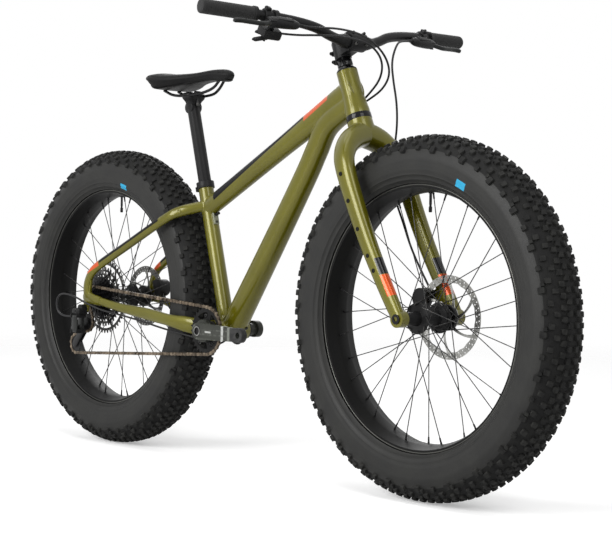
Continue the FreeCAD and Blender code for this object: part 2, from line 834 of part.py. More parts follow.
def fork_leg():
    inner_face = front_hub_width / 2
    outer_face = inner_face + fork_dropout_thickness
    foot = cylinder(front_axle_at + left * inner_face, left, fork_dropout_radius, fork_dropout_thickness)
    leg = fused([leg_loft(), foot])
    leg = leg.cut(cylinder(front_axle_at + left * outer_face, left, axle_head_radius + seat_gap, leg_offset))
    hub_room = cylinder(front_axle_at, left, fork_dropout_radius + leg_foot_rise, inner_face)
    leg = leg.cut(hub_room)
    leg = leg.cut(cylinder(front_axle_at + left * (inner_face - overrun), left, front_axle_radius,
                           fork_dropout_thickness + 2 * overrun))
    for depth in boss_depths:
        mouth = steer_at(leg_line(depth), leg_offset + leg_top_halves[1], -depth)
        bottom = steer_at(leg_line(depth), leg_offset + leg_outer_half(depth) - boss_depth, -depth)
        leg = leg.cut(cylinder(bottom, left, boss_radius, (mouth - bottom).Length + overrun))
    return leg


def front_brake_tab():
    """The tab behind the left leg, against the caliper's outer side."""
    level = crown_reach - brake_tab_rise
    inner = front_rotor_offset + caliper_half_width()
    start = steer_at(leg_line(level), inner, -level)
    end = front_axle_at + turn_at(front_caliper_angle) * front_rotor_radius + left * inner
    across = unit((end - start).cross(left)) * (brake_tab_height / 2)
    return prism([start - across, end - across, end + across, start + across], left * brake_boss_width)


def leg_outer_half(depth):
    share = (depth - leg_top_depth) / (crown_reach - leg_foot_rise - leg_top_depth)
    return leg_top_halves[1] + (leg_foot_halves[1] - leg_top_halves[1]) * share


# Wheels
def tire_place(turn, shrink):
    """A place (radius, half width) on the casing's rounded outline, at a turn up from its widest level."""
    rise = math.copysign(abs(math.sin(turn)) ** tire_roundness_share, turn)
    wide = max(math.cos(turn), 0) ** tire_roundness_share
    center = tire_radius - knob_height - tire_half_height
    return center + (tire_half_height - shrink) * rise, (tire_half_width - shrink) * wide


def tire_half(shrink, steps):
    drop = tire_radius - knob_height - tire_half_height - rim_radius - tire_bead_height
    low = -math.asin((drop / tire_half_height) ** (1 / tire_roundness_share))
    return [tire_place(low + (math.pi / 2 - low) * k / steps, shrink) for k in range(steps + 1)]


def tire_casing(axle):
    bead_out = rim_half_width - rim_lip - seat_gap
    bead_in = bead_out - tire_wall
    foot = rim_shoulder_radius + seat_gap
    bead = [(rim_radius + tire_wall, bead_in), (foot, bead_in), (foot, bead_out),
            (rim_radius + seat_gap, bead_out)]
    outer = tire_half(0, outer_tire_steps)
    inner = tire_half(tire_wall, inner_tire_steps)
    half = list(reversed(inner[:-1])) + bead + outer[:-1]
    profile = [inner[-1]] + half + [outer[-1]] + [(r, -w) for r, w in reversed(half)]
    return turned(profile, axle, left, above)


def knob(axle, turn, offset, lean, length, width):
    """A tapered block: its foot is inside the casing and its top stands a knob's height over the casing."""
    side = 1 if offset > 0 else -1
    normal = vec(0, side * math.sin(math.radians(lean)), math.cos(math.radians(lean)))
    along = left.cross(normal)
    across = normal.cross(along)
    top_center = left * offset + above * tire_radius
    if lean:
        radius, wide = tire_place(math.radians(90 - lean), 0)
        top_center = left * (side * wide) + above * radius + normal * knob_height
    rings = []
    for depth, share in ((knob_height + knob_root, 1), (0, knob_taper_share)):
        a = along * (length / 2 * share)
        b = across * (width / 2 * share)
        corners = [top_center - normal * depth + p for p in (-a - b, a - b, a + b, -a + b)]
        rings.append(Part.makePolygon(corners + [corners[0]]))
    solid = Part.makeLoft(rings, True, True)
    solid.rotate(vec(0, 0, 0), left, turn)
    solid.translate(axle)
    return solid


def tire(axle):
    """The turned casing with its rows of knobs fused on, the rows staggered by half a tread unit."""
    knobs = []
    for i in range(tread_units):
        for side in (1, -1):
            turn = 360.0 * (i + (side < 0) / 2) / tread_units
            across = turn + 180.0 / tread_units
            knobs.append(knob(axle, turn, side * center_knob_offset, 0, center_knob_length, center_knob_width))
            knobs.append(knob(axle, across, side * center_knob_offset, shoulder_knob_lean, shoulder_knob_length,
                              shoulder_knob_width))
    return tire_casing(axle).multiFuse(knobs).Solids[0]


def rim(axle):
    lip = rim_half_width - rim_lip
    half = [(rim_radius, rim_half_width), (rim_radius, lip), (rim_shoulder_radius, lip),
            (rim_bed_radius, rim_bed_half_width)]
    inner = [(rim_inner_radius, rim_inner_half_width), (rim_side_radius, rim_half_width)]
    profile = half + [(r, -w) for r, w in reversed(half)]
    profile += [(r, -w) for r, w in reversed(inner)] + inner
    band = turned(profile, axle, left, above)
    hole = cylinder(axle + above * (rim_bed_radius + overrun), -above, valve_radius,
                    rim_bed_radius - rim_inner_radius + 2 * overrun)
    stem = cylinder(axle + above * (rim_bed_radius - overrun), -above, valve_radius, valve_length)
    return group([band.cut(hole), stem])


def hub(axle, ends, flanges, rotor_offset, axle_radius, barrel_ends):
    """A turned hub: its right end, both flanges, the rotor seat and spigot, and its left end."""
    bore = axle_radius + running_gap
    half = flange_thickness / 2
    right, left_flange = flanges
    seat = rotor_offset - rotor_thickness / 2
    start, end = ends
    profile = [(bore, start), (hub_end_radius, start), (barrel_ends, right - half),
               (flange_radius, right - half),
               (flange_radius, right + half), (flange_root_radius, right + half),
               (hub_barrel_radius, right + half + hub_barrel_radius / 2),
               (hub_barrel_radius, left_flange - half - hub_barrel_radius / 2),
               (flange_root_radius, left_flange - half), (flange_radius, left_flange - half),
               (flange_radius, left_flange + half), (rotor_spigot_radius, left_flange + half),
               (rotor_spigot_radius, seat - rotor_seat_length), (rotor_seat_radius, seat - rotor_seat_length),
               (rotor_seat_radius, seat), (rotor_spigot_radius, seat),
               (rotor_spigot_radius, seat + rotor_spigot_length), (hub_end_radius, seat + rotor_spigot_length),
               (hub_end_radius, end), (bore, end)]
    return turned(profile, axle, left, above)


def spokes(axle, flanges):
    rods = []
    step = 360.0 / spokes_per_side
    reach = flange_thickness / 2 + spoke_radius + running_gap
    for flange, side, phase in ((flanges[1], 1, 0), (flanges[0], -1, step / 2)):
        for i in range(spokes_per_side):
            lead = 1 if i % 2 else -1
            rim_turn = math.radians(90 + phase + i * step)
            hub_turn = rim_turn + lead * math.radians(spoke_cross * step)
            out = flange + side * lead * (reach + (spoke_head_gap if lead > 0 else 0))
            start = axle + vec(math.cos(hub_turn) * spoke_circle_radius, out,
                               math.sin(hub_turn) * spoke_circle_radius)
            rim_reach = rim_inner_radius - seat_gap
            end = axle + vec(math.cos(rim_turn) * rim_reach, side * spoke_rim_offset,
                             math.sin(rim_turn) * rim_reach)
            rods.append(six_sided(start, end, spoke_radius))
    return group(rods)


def six_sided(start, end, radius):
    along = unit(end - start)
    across = unit(along.cross(left if abs(along.dot(left)) < math.sqrt(1 / 2) else above))
    up = along.cross(across)
    corners = [start + across * (radius * math.cos(k * math.pi / 3)) + up * (radius * math.sin(k * math.pi / 3))
               for k in range(6)]
    return prism(corners, end - start)


def rotor(axle, radius, offset):
    base = axle + left * (offset - rotor_thickness / 2)
    inner = radius - rotor_track
    disc = ring(base, left, radius, rotor_spigot_radius, rotor_thickness)
    windows = ring(base - left * overrun, left, inner, rotor_hub_radius, rotor_thickness + 2 * overrun)
    bars = []
    for k in range(rotor_arm_count):
        root_turn = 360.0 * k / rotor_arm_count
        root = axle + turn_at(root_turn) * rotor_spigot_radius
        tip = axle + turn_at(root_turn + rotor_arm_lean) * (radius - rotor_track / 2)
        across = unit((tip - root).cross(left)) * (rotor_arm_width / 2)
        low = left * (offset - rotor_thickness)
        corners = [root - across + low, tip - across + low, tip + across + low, root + across + low]
        bars.append(prism(corners, left * (2 * rotor_thickness)))
    return disc.cut(windows.cut(group(bars)))


def axle_rod(center, half_left, half_right, radius, bore, head_side):
    rod = cylinder(center - left * half_right, left, radius, half_left + half_right)
    face = half_left if head_side > 0 else -half_right - axle_head_length
    head = cylinder(center + left * face, left, axle_head_radius, axle_head_length)
    hole = cylinder(center - left * (half_right + axle_head_length + overrun), left, bore,
                    half_left + half_right + 2 * axle_head_length + 2 * overrun)
    return rod.fuse(head).removeSplitter().cut(hole)


# Brakes
def caliper_half_width():
    return rotor_thickness / 2 + pad_gap + pad_thickness + running_gap + caliper_wall


def caliper_frame(axle, angle):
    radial = turn_at(angle)
    return radial, radial.cross(left)


def caliper(axle, radius, offset, angle):
    radial, across = caliper_frame(axle, angle)
    reach = radius + (caliper_outer_reach - caliper_inner_reach) / 2
    half_reach = (caliper_outer_reach + caliper_inner_reach) / 2
    center = axle + radial * reach + left * offset
    body = block(center, (radial, across, left), (half_reach, caliper_length / 2, caliper_half_width()))
    slot_half = caliper_half_width() - caliper_wall
    slot_shift = radial * (half_reach - caliper_wall / 2)
    slot = block(center - slot_shift, (radial, across, left), (half_reach, caliper_length, slot_half))
    rounded_at = center - left * (caliper_half_width() + overrun) + radial * (half_reach - caliper_length / 2)
    rounded = cylinder(rounded_at,
                       left, caliper_length / 2, 2 * (caliper_half_width() + overrun))
    shoulder = block(center - radial * (half_reach - (2 * half_reach - caliper_length / 2) / 2),
                     (radial, across, left),
                     ((2 * half_reach - caliper_length / 2) / 2, caliper_length, 2 * caliper_half_width()))
    return body.common(rounded.fuse(shoulder)).cut(slot)


def pad(axle, radius, offset, angle, side):
    radial, across = caliper_frame(axle, angle)
    reach = radius - rotor_track / 2
    sideways = offset + side * (rotor_thickness / 2 + pad_gap + pad_thickness / 2)
    center = axle + radial * reach + left * sideways
    return block(center, (radial, across, left), (pad_height / 2, pad_length / 2, pad_thickness / 2))


# Cockpit
def stem_pieces():
    base = steer_at(0, 0, stem_bottom)
    post = cylinder(base, steer_up, steerer_radius + stem_wall, stem_height)
    bar_at = steer_at(stem_length, 0, bar_level)
    half_clamp = stem_clamp_width / 2
    clamp = cylinder(bar_at - left * half_clamp, left, stem_clamp_radius, stem_clamp_width)
    neck = block(steer_at(stem_length / 2, 0, bar_level), (steer_ahead, left, steer_up),
                 (stem_length / 2, stem_neck_width / 2, stem_height / 2 - stem_wall))
    body = fused([post, clamp, neck])
    body = body.cut(cylinder(base - steer_up * overrun, steer_up, steerer_radius, stem_height + 2 * overrun))
    body = body.cut(cylinder(bar_at - left * (half_clamp + overrun), left, bar_clamp_radius,
                             stem_clamp_width + 2 * overrun))
    front = block(bar_at + steer_ahead * (stem_clamp_radius + faceplate_gap / 2), (steer_ahead, left, steer_up),
                  (stem_clamp_radius, stem_clamp_width, stem_height))
    gap = block(bar_at, (steer_ahead, left, steer_up), (faceplate_gap / 2, stem_clamp_width, stem_height))
    return [body.cut(front).cut(gap), body.common(front)]


def bar_points():
    start = steer_at(stem_length, 0, bar_level)
    return [start, start + left * bar_rise_start, start + vec(-bar_rise_sweep, bar_rise_end, bar_rise),
            start + vec(-bar_end_sweep, bar_half_width, bar_end_rise)]


def handlebar():
    half, length, radii = bent_tube(bar_points(), bar_radius, bar_bend_radius)
    start = bar_points()[0]
    profile = [(0, 0), (bar_clamp_radius, 0), (bar_clamp_radius, bar_clamp_half),
               (bar_radius, bar_clamp_half + bar_taper), (0, bar_clamp_half + bar_taper)]
    bulge = turned(profile, start, left, above)
    side = bulge.fuse(half).removeSplitter()
    return fused([side, mirrored(side)])


def bar_frame():
    """On the left side: the bar's end, the direction inward along it, forward and down, and their normal."""
    points = bar_points()
    inward = unit(points[2] - points[3])
    down = vec(math.cos(math.radians(lever_tilt)), 0, -math.sin(math.radians(lever_tilt)))
    reach = unit(down - inward * down.dot(inward))
    return points[3], inward, reach, inward.cross(reach)


def grip():
    end, inward, reach, normal = bar_frame()
    body = ring(end, inward, grip_radius, bar_radius, grip_length)
    outer = ring(end, inward, lock_ring_radius, bar_radius, lock_ring_width)
    inner = ring(end + inward * (grip_length - lock_ring_width), inward, lock_ring_radius, bar_radius,
                 lock_ring_width)
    cap = cylinder(end - inward * end_cap_thickness, inward, grip_radius, end_cap_thickness)
    return fused([body, outer, inner, cap])


def bar_local(station, forth, up):
    end, inward, reach, normal = bar_frame()
    return end + inward * station + reach * forth + normal * up


def lever_body():
    end, inward, reach, normal = bar_frame()
    outer = bar_radius + lever_clamp_wall
    band = ring(bar_local(lever_clamp_station - lever_clamp_width / 2, 0, 0), inward, outer, bar_radius,
                lever_clamp_width)
    master = cylinder(bar_local(lever_clamp_station, master_reach, 0), inward, master_radius, master_length)
    bridge = block(bar_local(lever_clamp_station, (bar_radius + master_reach) / 2, 0), (inward, reach, normal),
                   (lever_clamp_width / 2, (master_reach - bar_radius) / 2, master_radius / 2))
    ear_half = lever_thickness / 2 + seat_gap
    ears = []
    for side in (1, -1):
        middle = bar_local(lever_clamp_station, (master_reach + lever_pivot_reach) / 2,
                           side * (ear_half + lever_ear_thickness / 2))
        ears.append(block(middle, (inward, reach, normal),
                          (lever_eye_radius, (lever_pivot_reach - master_reach) / 2 + lever_eye_radius,
                           lever_ear_thickness / 2)))
    pin = cylinder(bar_local(lever_clamp_station, lever_pivot_reach, -ear_half - lever_ear_thickness), normal,
                   lever_pivot_radius, 2 * (ear_half + lever_ear_thickness))
    body = fused([band, bridge, master, *ears])
    room = cylinder(bar_local(lever_clamp_station, lever_pivot_reach, -ear_half), normal,
                    lever_eye_radius + seat_gap, 2 * ear_half)
    clear = cylinder(bar_local(lever_clamp_station - lever_clamp_width, 0, 0), inward, bar_radius,
                     2 * lever_clamp_width)
    return body.cut(room).cut(clear).fuse(pin).removeSplitter()


def brake_lever():
    end, inward, reach, normal = bar_frame()
    low = -lever_thickness / 2
    bow = lever_blade_bow
    deep = lever_blade_depth
    outline = [(0, -lever_eye_radius), (-bow, 0), (-2 * bow, bow / 2), (-lever_blade_length, bow / 2),
               (-lever_blade_length - deep / 2, bow / 2 + deep / 2), (-lever_blade_length, bow / 2 + deep),
               (-2 * bow, bow / 2 + deep), (-bow, deep), (0, lever_eye_radius)]
    points = [bar_local(lever_clamp_station + along, lever_pivot_reach + forth, low)
              for along, forth in outline]
    blade = prism(points, normal * lever_thickness)
    pivot = bar_local(lever_clamp_station, lever_pivot_reach, low)
    eye = cylinder(pivot, normal, lever_eye_radius, lever_thickness)
    hole = cylinder(pivot - normal * overrun, normal, lever_pivot_radius + running_gap,
                    lever_thickness + 2 * overrun)
    return blade.fuse(eye).removeSplitter().cut(hole)


def shifter_body():
    end, inward, reach, normal = bar_frame()
    band = ring(bar_local(shifter_station - shifter_clamp_width / 2, 0, 0), inward,
                bar_radius + lever_clamp_wall,
                bar_radius, shifter_clamp_width)
    down = -shifter_drop - shifter_height / 2
    case = block(bar_local(shifter_station, 0, down), (inward, reach, normal),
                 (shifter_length / 2, shifter_width / 2, shifter_height / 2))
    neck = block(bar_local(shifter_station, 0, -(bar_radius + shifter_drop) / 2), (inward, reach, normal),
                 (shifter_clamp_width / 2, bar_radius / 2, (shifter_drop - bar_radius) / 2))
    tail = down - shifter_height / 2
    pins = [cylinder(bar_local(shifter_station + along, forth, tail - 2 * paddle_thickness - 2 * seat_gap),
                     normal,
                     paddle_pivot_radius, 2 * paddle_thickness + 2 * seat_gap + shifter_height / 2)
            for along, forth in shifter_pivots()]
    return fused([band, case, neck, *pins])


def shifter_pivots():
    return ((shifter_length / 4, -shifter_width / 5), (-shifter_length / 4, shifter_width / 5))


def paddle(pivot_index, reach_length, forth_share):
    end, inward, reach, normal = bar_frame()
    along, forth = shifter_pivots()[pivot_index]
    top = -shifter_drop - shifter_height - seat_gap
    low = top - paddle_thickness
    tip_along = along - reach_length
    tip_forth = forth + forth_share * reach_length
    half = paddle_width / 2
    outline = [(along, forth - paddle_eye_radius), (tip_along, tip_forth - half), (tip_along - half, tip_forth),
               (tip_along, tip_forth + half), (along, forth + paddle_eye_radius)]
    blade = prism([bar_local(shifter_station + a, f, low) for a, f in outline], normal * paddle_thickness)
    pivot = bar_local(shifter_station + along, forth, low)
    eye = cylinder(pivot, normal, paddle_eye_radius, paddle_thickness)
    hole = cylinder(pivot - normal * overrun, normal, paddle_pivot_radius + running_gap,
                    paddle_thickness + 2 * overrun)
    return blade.fuse(eye).removeSplitter().cut(hole)


# Seatpost, clamp and saddle
def seatpost():
    head_at = seat_at(seatpost_head_station)
    bottom = seat_at(seatpost_head_station - seatpost_length)
    tube = cylinder(bottom, seat_up, seatpost_radius, seatpost_length - cradle_wall)
    bore = cylinder(bottom - seat_up * overrun, seat_up, seatpost_radius - seatpost_wall,
                    seatpost_length - post_head_radius * 2)
    head = cylinder(head_at - left * post_head_half_width, left, post_head_radius, 2 * post_head_half_width)
    return fused([tube.cut(bore), head])


def rail_level():
    return seat_at(seatpost_head_station).z + post_head_radius + cradle_wall + rail_radius


def seat_clamp():
    head_at = seat_at(seatpost_head_station)
    level = rail_level()
    half_wide = rail_half_spacing + rail_radius + cradle_wall
    low = head_at.z + running_gap
    lower = block(vec(head_at.x, 0, (low + level) / 2), (ahead, left, above),
                  (cradle_length / 2, half_wide, (level - low) / 2))
    upper_top = level + rail_radius + cradle_wall
    upper = block(vec(head_at.x, 0, (level + upper_top) / 2), (ahead, left, above),
                  (cradle_length / 2, half_wide, (upper_top - level) / 2))
    cups = [cylinder(head_at - left * 2 * half_wide, left, post_head_radius + running_gap, 4 * half_wide)]
    for side in (1, -1):
        cups.append(cylinder(vec(head_at.x - cradle_length, side * rail_half_spacing, level), ahead,
                             rail_radius + running_gap, 2 * cradle_length))
    shin = cylinder(head_at - seat_up * (post_head_radius * 2), seat_up, seatpost_radius + 2 * overrun,
                    post_head_radius * 2)
    halves = []
    for half in (lower, upper):
        for cup in cups:
            half = half.cut(cup)
        halves.append(half.cut(shin))
    return group([max(half.Solids, key=lambda solid: solid.Volume) for half in halves])


def saddle_x(share):
    return seat_at(seatpost_head_station).x + saddle_nose_ahead - share * saddle_length


def saddle_floor():
    return rail_level() + saddle_base_rise


def saddle_section(x, half_width, height, floor):
    foot = half_width * saddle_foot_share
    edge = half_width * saddle_rim_share
    rim_z = floor + height * saddle_crown_share
    belly_z = floor + height * saddle_belly_share
    points = {"rf": vec(x, -foot, floor), "lf": vec(x, foot, floor), "lb": vec(x, half_width, belly_z),
              "le": vec(x, edge, rim_z), "c": vec(x, 0, floor + height), "re": vec(x, -edge, rim_z),
              "rb": vec(x, -half_width, belly_z)}
    edges = [Part.LineSegment(points["rf"], points["lf"]).toShape(),
             Part.Arc(points["lf"], points["lb"], points["le"]).toShape(),
             Part.Arc(points["le"], points["c"], points["re"]).toShape(),
             Part.Arc(points["re"], points["rb"], points["rf"]).toShape()]
    return Part.Wire(edges)


def saddle():
    wires = []
    for x_share, w_share, t_share in zip(saddle_station_shares, saddle_width_shares, saddle_top_shares):
        wires.append(saddle_section(saddle_x(x_share), saddle_half_width * w_share, saddle_height * t_share,
                                    saddle_floor()))
    return Part.makeLoft(wires, True, False)


def saddle_base():
    outline = []
    for x_share, w_share in zip(saddle_station_shares, saddle_width_shares):
        outline.append((saddle_x(x_share), saddle_half_width * w_share * saddle_foot_share))
    floor = saddle_floor()
    points = [vec(x, w, floor) for x, w in outline] + [vec(x, -w, floor) for x, w in reversed(outline)]
    return prism(points, above * -saddle_base_thickness)


def saddle_rails():
    center = seat_at(seatpost_head_station).x
    level = rail_level()
    top = saddle_floor() - saddle_base_thickness
    rails = []
    for side in (1, -1):
        y = side * rail_half_spacing
        nose_y = side * saddle_half_width * saddle_width_shares[1] * saddle_foot_share / 2
        points = [vec(center - rail_rear_run, y, top), vec(center - rail_clamp_half, y, level),
                  vec(center + rail_clamp_half, y, level), vec(center + rail_front_run, nose_y, top)]
        rail, length, radii = bent_tube(points, rail_radius, rail_bend_radius)
        ceiling = block(vec(center, 0, top + rail_clamp_half), (ahead, left, above),
                        (saddle_length, saddle_length, rail_clamp_half))
        rails.append(rail.cut(ceiling))
    return rails


# Drive
def pitch_radius(teeth):
    return chain_pitch / (2 * math.sin(math.pi / teeth))


def sprocket(center, teeth, offset, thickness, phase, bore):
    radius = pitch_radius(teeth)
    points = []
    for k in range(teeth):
        seat = phase + 2 * math.pi * k / teeth
        out = vec(math.cos(seat), 0, math.sin(seat))
        round_way = vec(-math.sin(seat), 0, math.cos(seat))
        tip_turn = seat + math.pi / teeth
        root = center + out * (radius - tooth_root_depth)
        points.append(root - round_way * tooth_root_half)
        points.append(root + round_way * tooth_root_half)
        points.append(center + vec(math.cos(tip_turn), 0, math.sin(tip_turn)) * (radius + tooth_tip))
    shift = left * (offset - thickness / 2)
    plate = prism([point + shift for point in points], left * thickness)
    return plate.cut(cylinder(center + shift - left * overrun, left, bore, thickness + 2 * overrun))


def arm_windows(center, inner, outer, offset, thickness, arms, arm_width):
    base = center + left * (offset - thickness / 2 - overrun)
    depth = thickness + 2 * overrun
    open_ring = ring(base, left, outer, inner, depth)
    bars = []
    for k in range(arms):
        out = turn_at(360.0 * k / arms)
        across = out.cross(left) * (arm_width / 2)
        corners = [base - across, base + out * (outer + overrun) - across,
                   base + out * (outer + overrun) + across,
                   base + across]
        bars.append(prism(corners, left * depth))
    return open_ring.cut(group(bars))


def cog_offset(index):
    return -cassette_inner_offset - cog_spacing * index


def cage_points(angle):
    pivot = rear_axle_at + vec(-cage_pivot_back, 0, -cage_pivot_drop)
    out = turn_at(angle)
    return pivot - out * guide_reach, pivot + out * tension_reach


def chain_loop(angle):
    """The chain's closed path: wheels in its order of travel and the tangent runs between them."""
    guide, tension = cage_points(angle)
    wheels = [(rear_axle_at, cassette_teeth[driven_cog], -1, cog_offset(driven_cog)),
              (bracket_at, ring_teeth, -1, -ring_offset),
              (tension, pulley_teeth, -1, cog_offset(driven_cog)),
              (guide, pulley_teeth, 1, cog_offset(driven_cog))]
    runs = []
    for this, other in zip(wheels, wheels[1:] + wheels[:1]):
        gap = other[0] - this[0]
        heading = math.atan2(gap.z, gap.x)
        lift = (other[2] * pitch_radius(other[1]) - this[2] * pitch_radius(this[1])) / gap.Length
        travel = heading - math.asin(lift)
        normal = vec(-math.sin(travel), 0, math.cos(travel))
        runs.append((this[0] - normal * (this[2] * pitch_radius(this[1])),
                     other[0] - normal * (other[2] * pitch_radius(other[1])), travel))
    return wheels, runs


def chain_steps(angle):
    """Each stretch of the path with its length in links, a run first and then the wheel it reaches."""
    wheels, runs = chain_loop(angle)
    steps = []
    for i, (start, end, travel) in enumerate(runs):
        wheel = wheels[(i + 1) % len(wheels)]
        steps.append(("run", start, end, wheels[i][3], wheel[3], (end - start).Length / chain_pitch))
        leave = runs[(i + 1) % len(runs)][2]
        turn = ((leave - travel) * wheel[2]) % (2 * math.pi)
        steps.append(("wheel", wheel, end, turn, (i + 1) % len(wheels), turn * wheel[1] / (2 * math.pi)))
    return steps


def chain_links(angle):
    return sum(step[5] for step in chain_steps(angle))


def settled_cage():
    """The cage angle at which an even number of links closes the loop."""
    links = 2 * round(chain_links(cage_nominal_angle) / 2)
    low = cage_nominal_angle - cage_search
    high = cage_nominal_angle + cage_search
    rising = chain_links(high) > chain_links(low)
    for _ in range(search_rounds):
        middle = (low + high) / 2
        if (chain_links(middle) > links) == rising:
            high = middle
        else:
            low = middle
    return middle, links


def chain_pins(angle, links):
    """Where each pin sits, and the phase that meshes each wheel with the pins on it."""
    steps = chain_steps(angle)
    pins = []
    phases = {}
    begin = 0
    for step in steps:
        count = step[5]
        for k in range(math.ceil(begin), math.ceil(begin + count)):
            if k >= links:
                continue
            part = k - begin
            if step[0] == "run":
                share = part / count
                ease = share * share * (3 - 2 * share)
                place = step[1] + (step[2] - step[1]) * share
                pins.append(vec(place.x, step[3] + (step[4] - step[3]) * ease, place.z))
            else:
                wheel, arrival = step[1], step[2]
                first = math.atan2(arrival.z - wheel[0].z, arrival.x - wheel[0].x)
                turn = first + wheel[2] * part * 2 * math.pi / wheel[1]
                radius = pitch_radius(wheel[1])
                pins.append(wheel[0] + vec(math.cos(turn) * radius, wheel[3], math.sin(turn) * radius))
                phases.setdefault(step[4], turn)
        begin += count
    return pins, phases


def chain(pins):
    solids = []
    for i, pin in enumerate(pins):
        after = pins[(i + 1) % len(pins)]
        along = unit(after - pin)
        up = unit(along.cross(left))
        side = up.cross(along)
        inner = inner_half_gap if i % 2 else inner_half_gap + plate_thickness + plate_gap
        middle = (pin + after) * (1 / 2)
        half_length = (after - pin).Length / 2 + plate_overhang
        for way in (1, -1):
            center = middle + side * (way * (inner + plate_thickness / 2))
            halves = (half_length, plate_half_height, plate_thickness / 2)
            solids.append(block(center, (along, up, side), halves))
        solids.append(six_sided(pin - left * roller_half_width, pin + left * roller_half_width, roller_radius))
    return group(solids)


def cassette(phase):
    cogs = []
    last = len(cassette_teeth) - 1
    for index, teeth in enumerate(cassette_teeth):
        plate = sprocket(rear_axle_at, teeth, cog_offset(index), cog_thickness, phase, freehub_radius)
        if index < windowed_cogs:
            radius = pitch_radius(teeth)
            plate = plate.cut(arm_windows(rear_axle_at, radius * cog_window_inner_share,
                                          radius * cog_window_outer_share, cog_offset(index), cog_thickness,
                                          cog_windows, cog_arm_width))
        if index < last:
            collar = ring(rear_axle_at + left * (cog_offset(index + 1) + cog_thickness / 2), left,
                          freehub_flange_radius, freehub_radius, cog_spacing - cog_thickness)
            plate = plate.fuse(collar).removeSplitter()
        cogs.append(plate)
    outer = -rear_hub_width / 2 + fork_hub_gap
    inner = rear_hub_right() - seat_gap
    body = ring(rear_axle_at + left * outer, left, freehub_radius, rear_axle_radius + running_gap,
                inner - outer)
    lock_end = cog_offset(last) - cog_thickness / 2
    lock = ring(rear_axle_at + left * (lock_end - lock_ring_width / 3), left, freehub_flange_radius,
                freehub_radius,
                lock_ring_width / 3)
    return fused(cogs + [body, lock])


def rear_hub_right():
    return -cassette_inner_offset + cog_spacing


def crank_arm(direction):
    """The left arm, pointing along the direction: tapered in both views, with its hub and its pedal eye."""
    tip = bracket_at + direction * crank_length
    up = above
    plan = [(0, arm_hub_inner), (crank_length, arm_tip_inner), (crank_length + arm_tip_radius, arm_tip_inner),
            (crank_length + arm_tip_radius, arm_tip_outer), (crank_length, arm_tip_outer), (0, arm_hub_outer)]
    plan_points = [bracket_at + direction * a + left * y - up * arm_hub_radius for a, y in plan]
    side = [(0, arm_hub_radius), (crank_length, arm_tip_radius), (crank_length, -arm_tip_radius),
            (0, -arm_hub_radius)]
    side_points = [bracket_at + direction * a + up * z + left * arm_hub_inner for a, z in side]
    bar = prism(plan_points, up * 2 * arm_hub_radius).common(
        prism(side_points, left * (arm_tip_outer - arm_hub_inner)))
    hub_boss = cylinder(bracket_at + left * arm_hub_inner, left, arm_hub_radius, arm_hub_outer - arm_hub_inner)
    eye = cylinder(tip + left * arm_tip_inner, left, arm_tip_radius, arm_tip_outer - arm_tip_inner)
    hole = cylinder(tip + left * (arm_tip_inner - overrun), left, pedal_thread_radius,
                    arm_tip_outer - arm_tip_inner + 2 * overrun)
    return fused([bar, hub_boss, eye]).cut(hole)


def cranks(phase):
    inside = cylinder(bracket_at - left * (arm_hub_outer + overrun), left, spindle_bore_radius,
                      2 * arm_hub_outer + 2 * overrun)
    left_arm = crank_arm(-ahead).cut(cylinder(bracket_at, left, spindle_radius, arm_hub_outer + overrun))
    right_arm = mirrored(crank_arm(ahead))
    ring_face = -ring_offset - ring_thickness / 2
    boss_start = -shell_half_width - cup_thickness - seat_gap
    boss = cylinder(bracket_at + left * boss_start, -left, ring_bore_radius, arm_hub_inner + boss_start)
    spider = cylinder(bracket_at + left * ring_face, -left, spider_radius, arm_hub_inner + ring_face)
    spindle = cylinder(bracket_at + left * boss_start, left, spindle_radius, arm_hub_outer - boss_start)
    nodes["crank_arm_right"] = group([fused([right_arm, boss, spider]).cut(inside), spindle.cut(inside)])
    nodes["crank_arm_left"] = left_arm
    plate = sprocket(bracket_at, ring_teeth, -ring_offset, ring_thickness, phase, ring_bore_radius)
    nodes["chainring"] = plate.cut(arm_windows(bracket_at, ring_window_inner, ring_window_outer, -ring_offset,
                                               ring_thickness, ring_arms, ring_arm_width))
    cups = []
    for side in (1, -1):
        axis = left * side
        face = bracket_at + axis * shell_half_width
        flange = ring(face, axis, cup_radius, spindle_radius + running_gap, cup_thickness)
        insert = ring(face - axis * cup_depth, axis, shell_bore_radius, spindle_radius + running_gap, cup_depth)
        cups.append(flange.fuse(insert).removeSplitter())
    nodes["bottom_bracket_cups"] = group(cups)


# Derailleur
def knuckle_frame(center):
    """A knuckle between the two links: a block, cheeks before and behind the links, and their pins."""
    pieces = [block(center, (ahead, left, above),
                    (link_width / 2 + knuckle_cheek + running_gap, knuckle_block_half, link_eye_radius))]
    reach = link_half_spread + link_eye_radius
    for way in (1, -1):
        cheek = center + ahead * (way * (link_width / 2 + running_gap + seat_gap + knuckle_cheek / 2))
        pieces.append(block(cheek, (ahead, left, above), (knuckle_cheek / 2, reach, link_eye_radius)))
        pin_half = link_width / 2 + knuckle_cheek
        pin_at = center + left * (way * link_half_spread) - ahead * pin_half
        pieces.append(cylinder(pin_at, ahead, link_pin_radius, 2 * pin_half))
    return pieces


def link_center(top):
    drop = link_top_drop if top else link_top_drop + link_length
    return rear_axle_at + vec(-link_plane_back, -link_plane_offset, -drop)


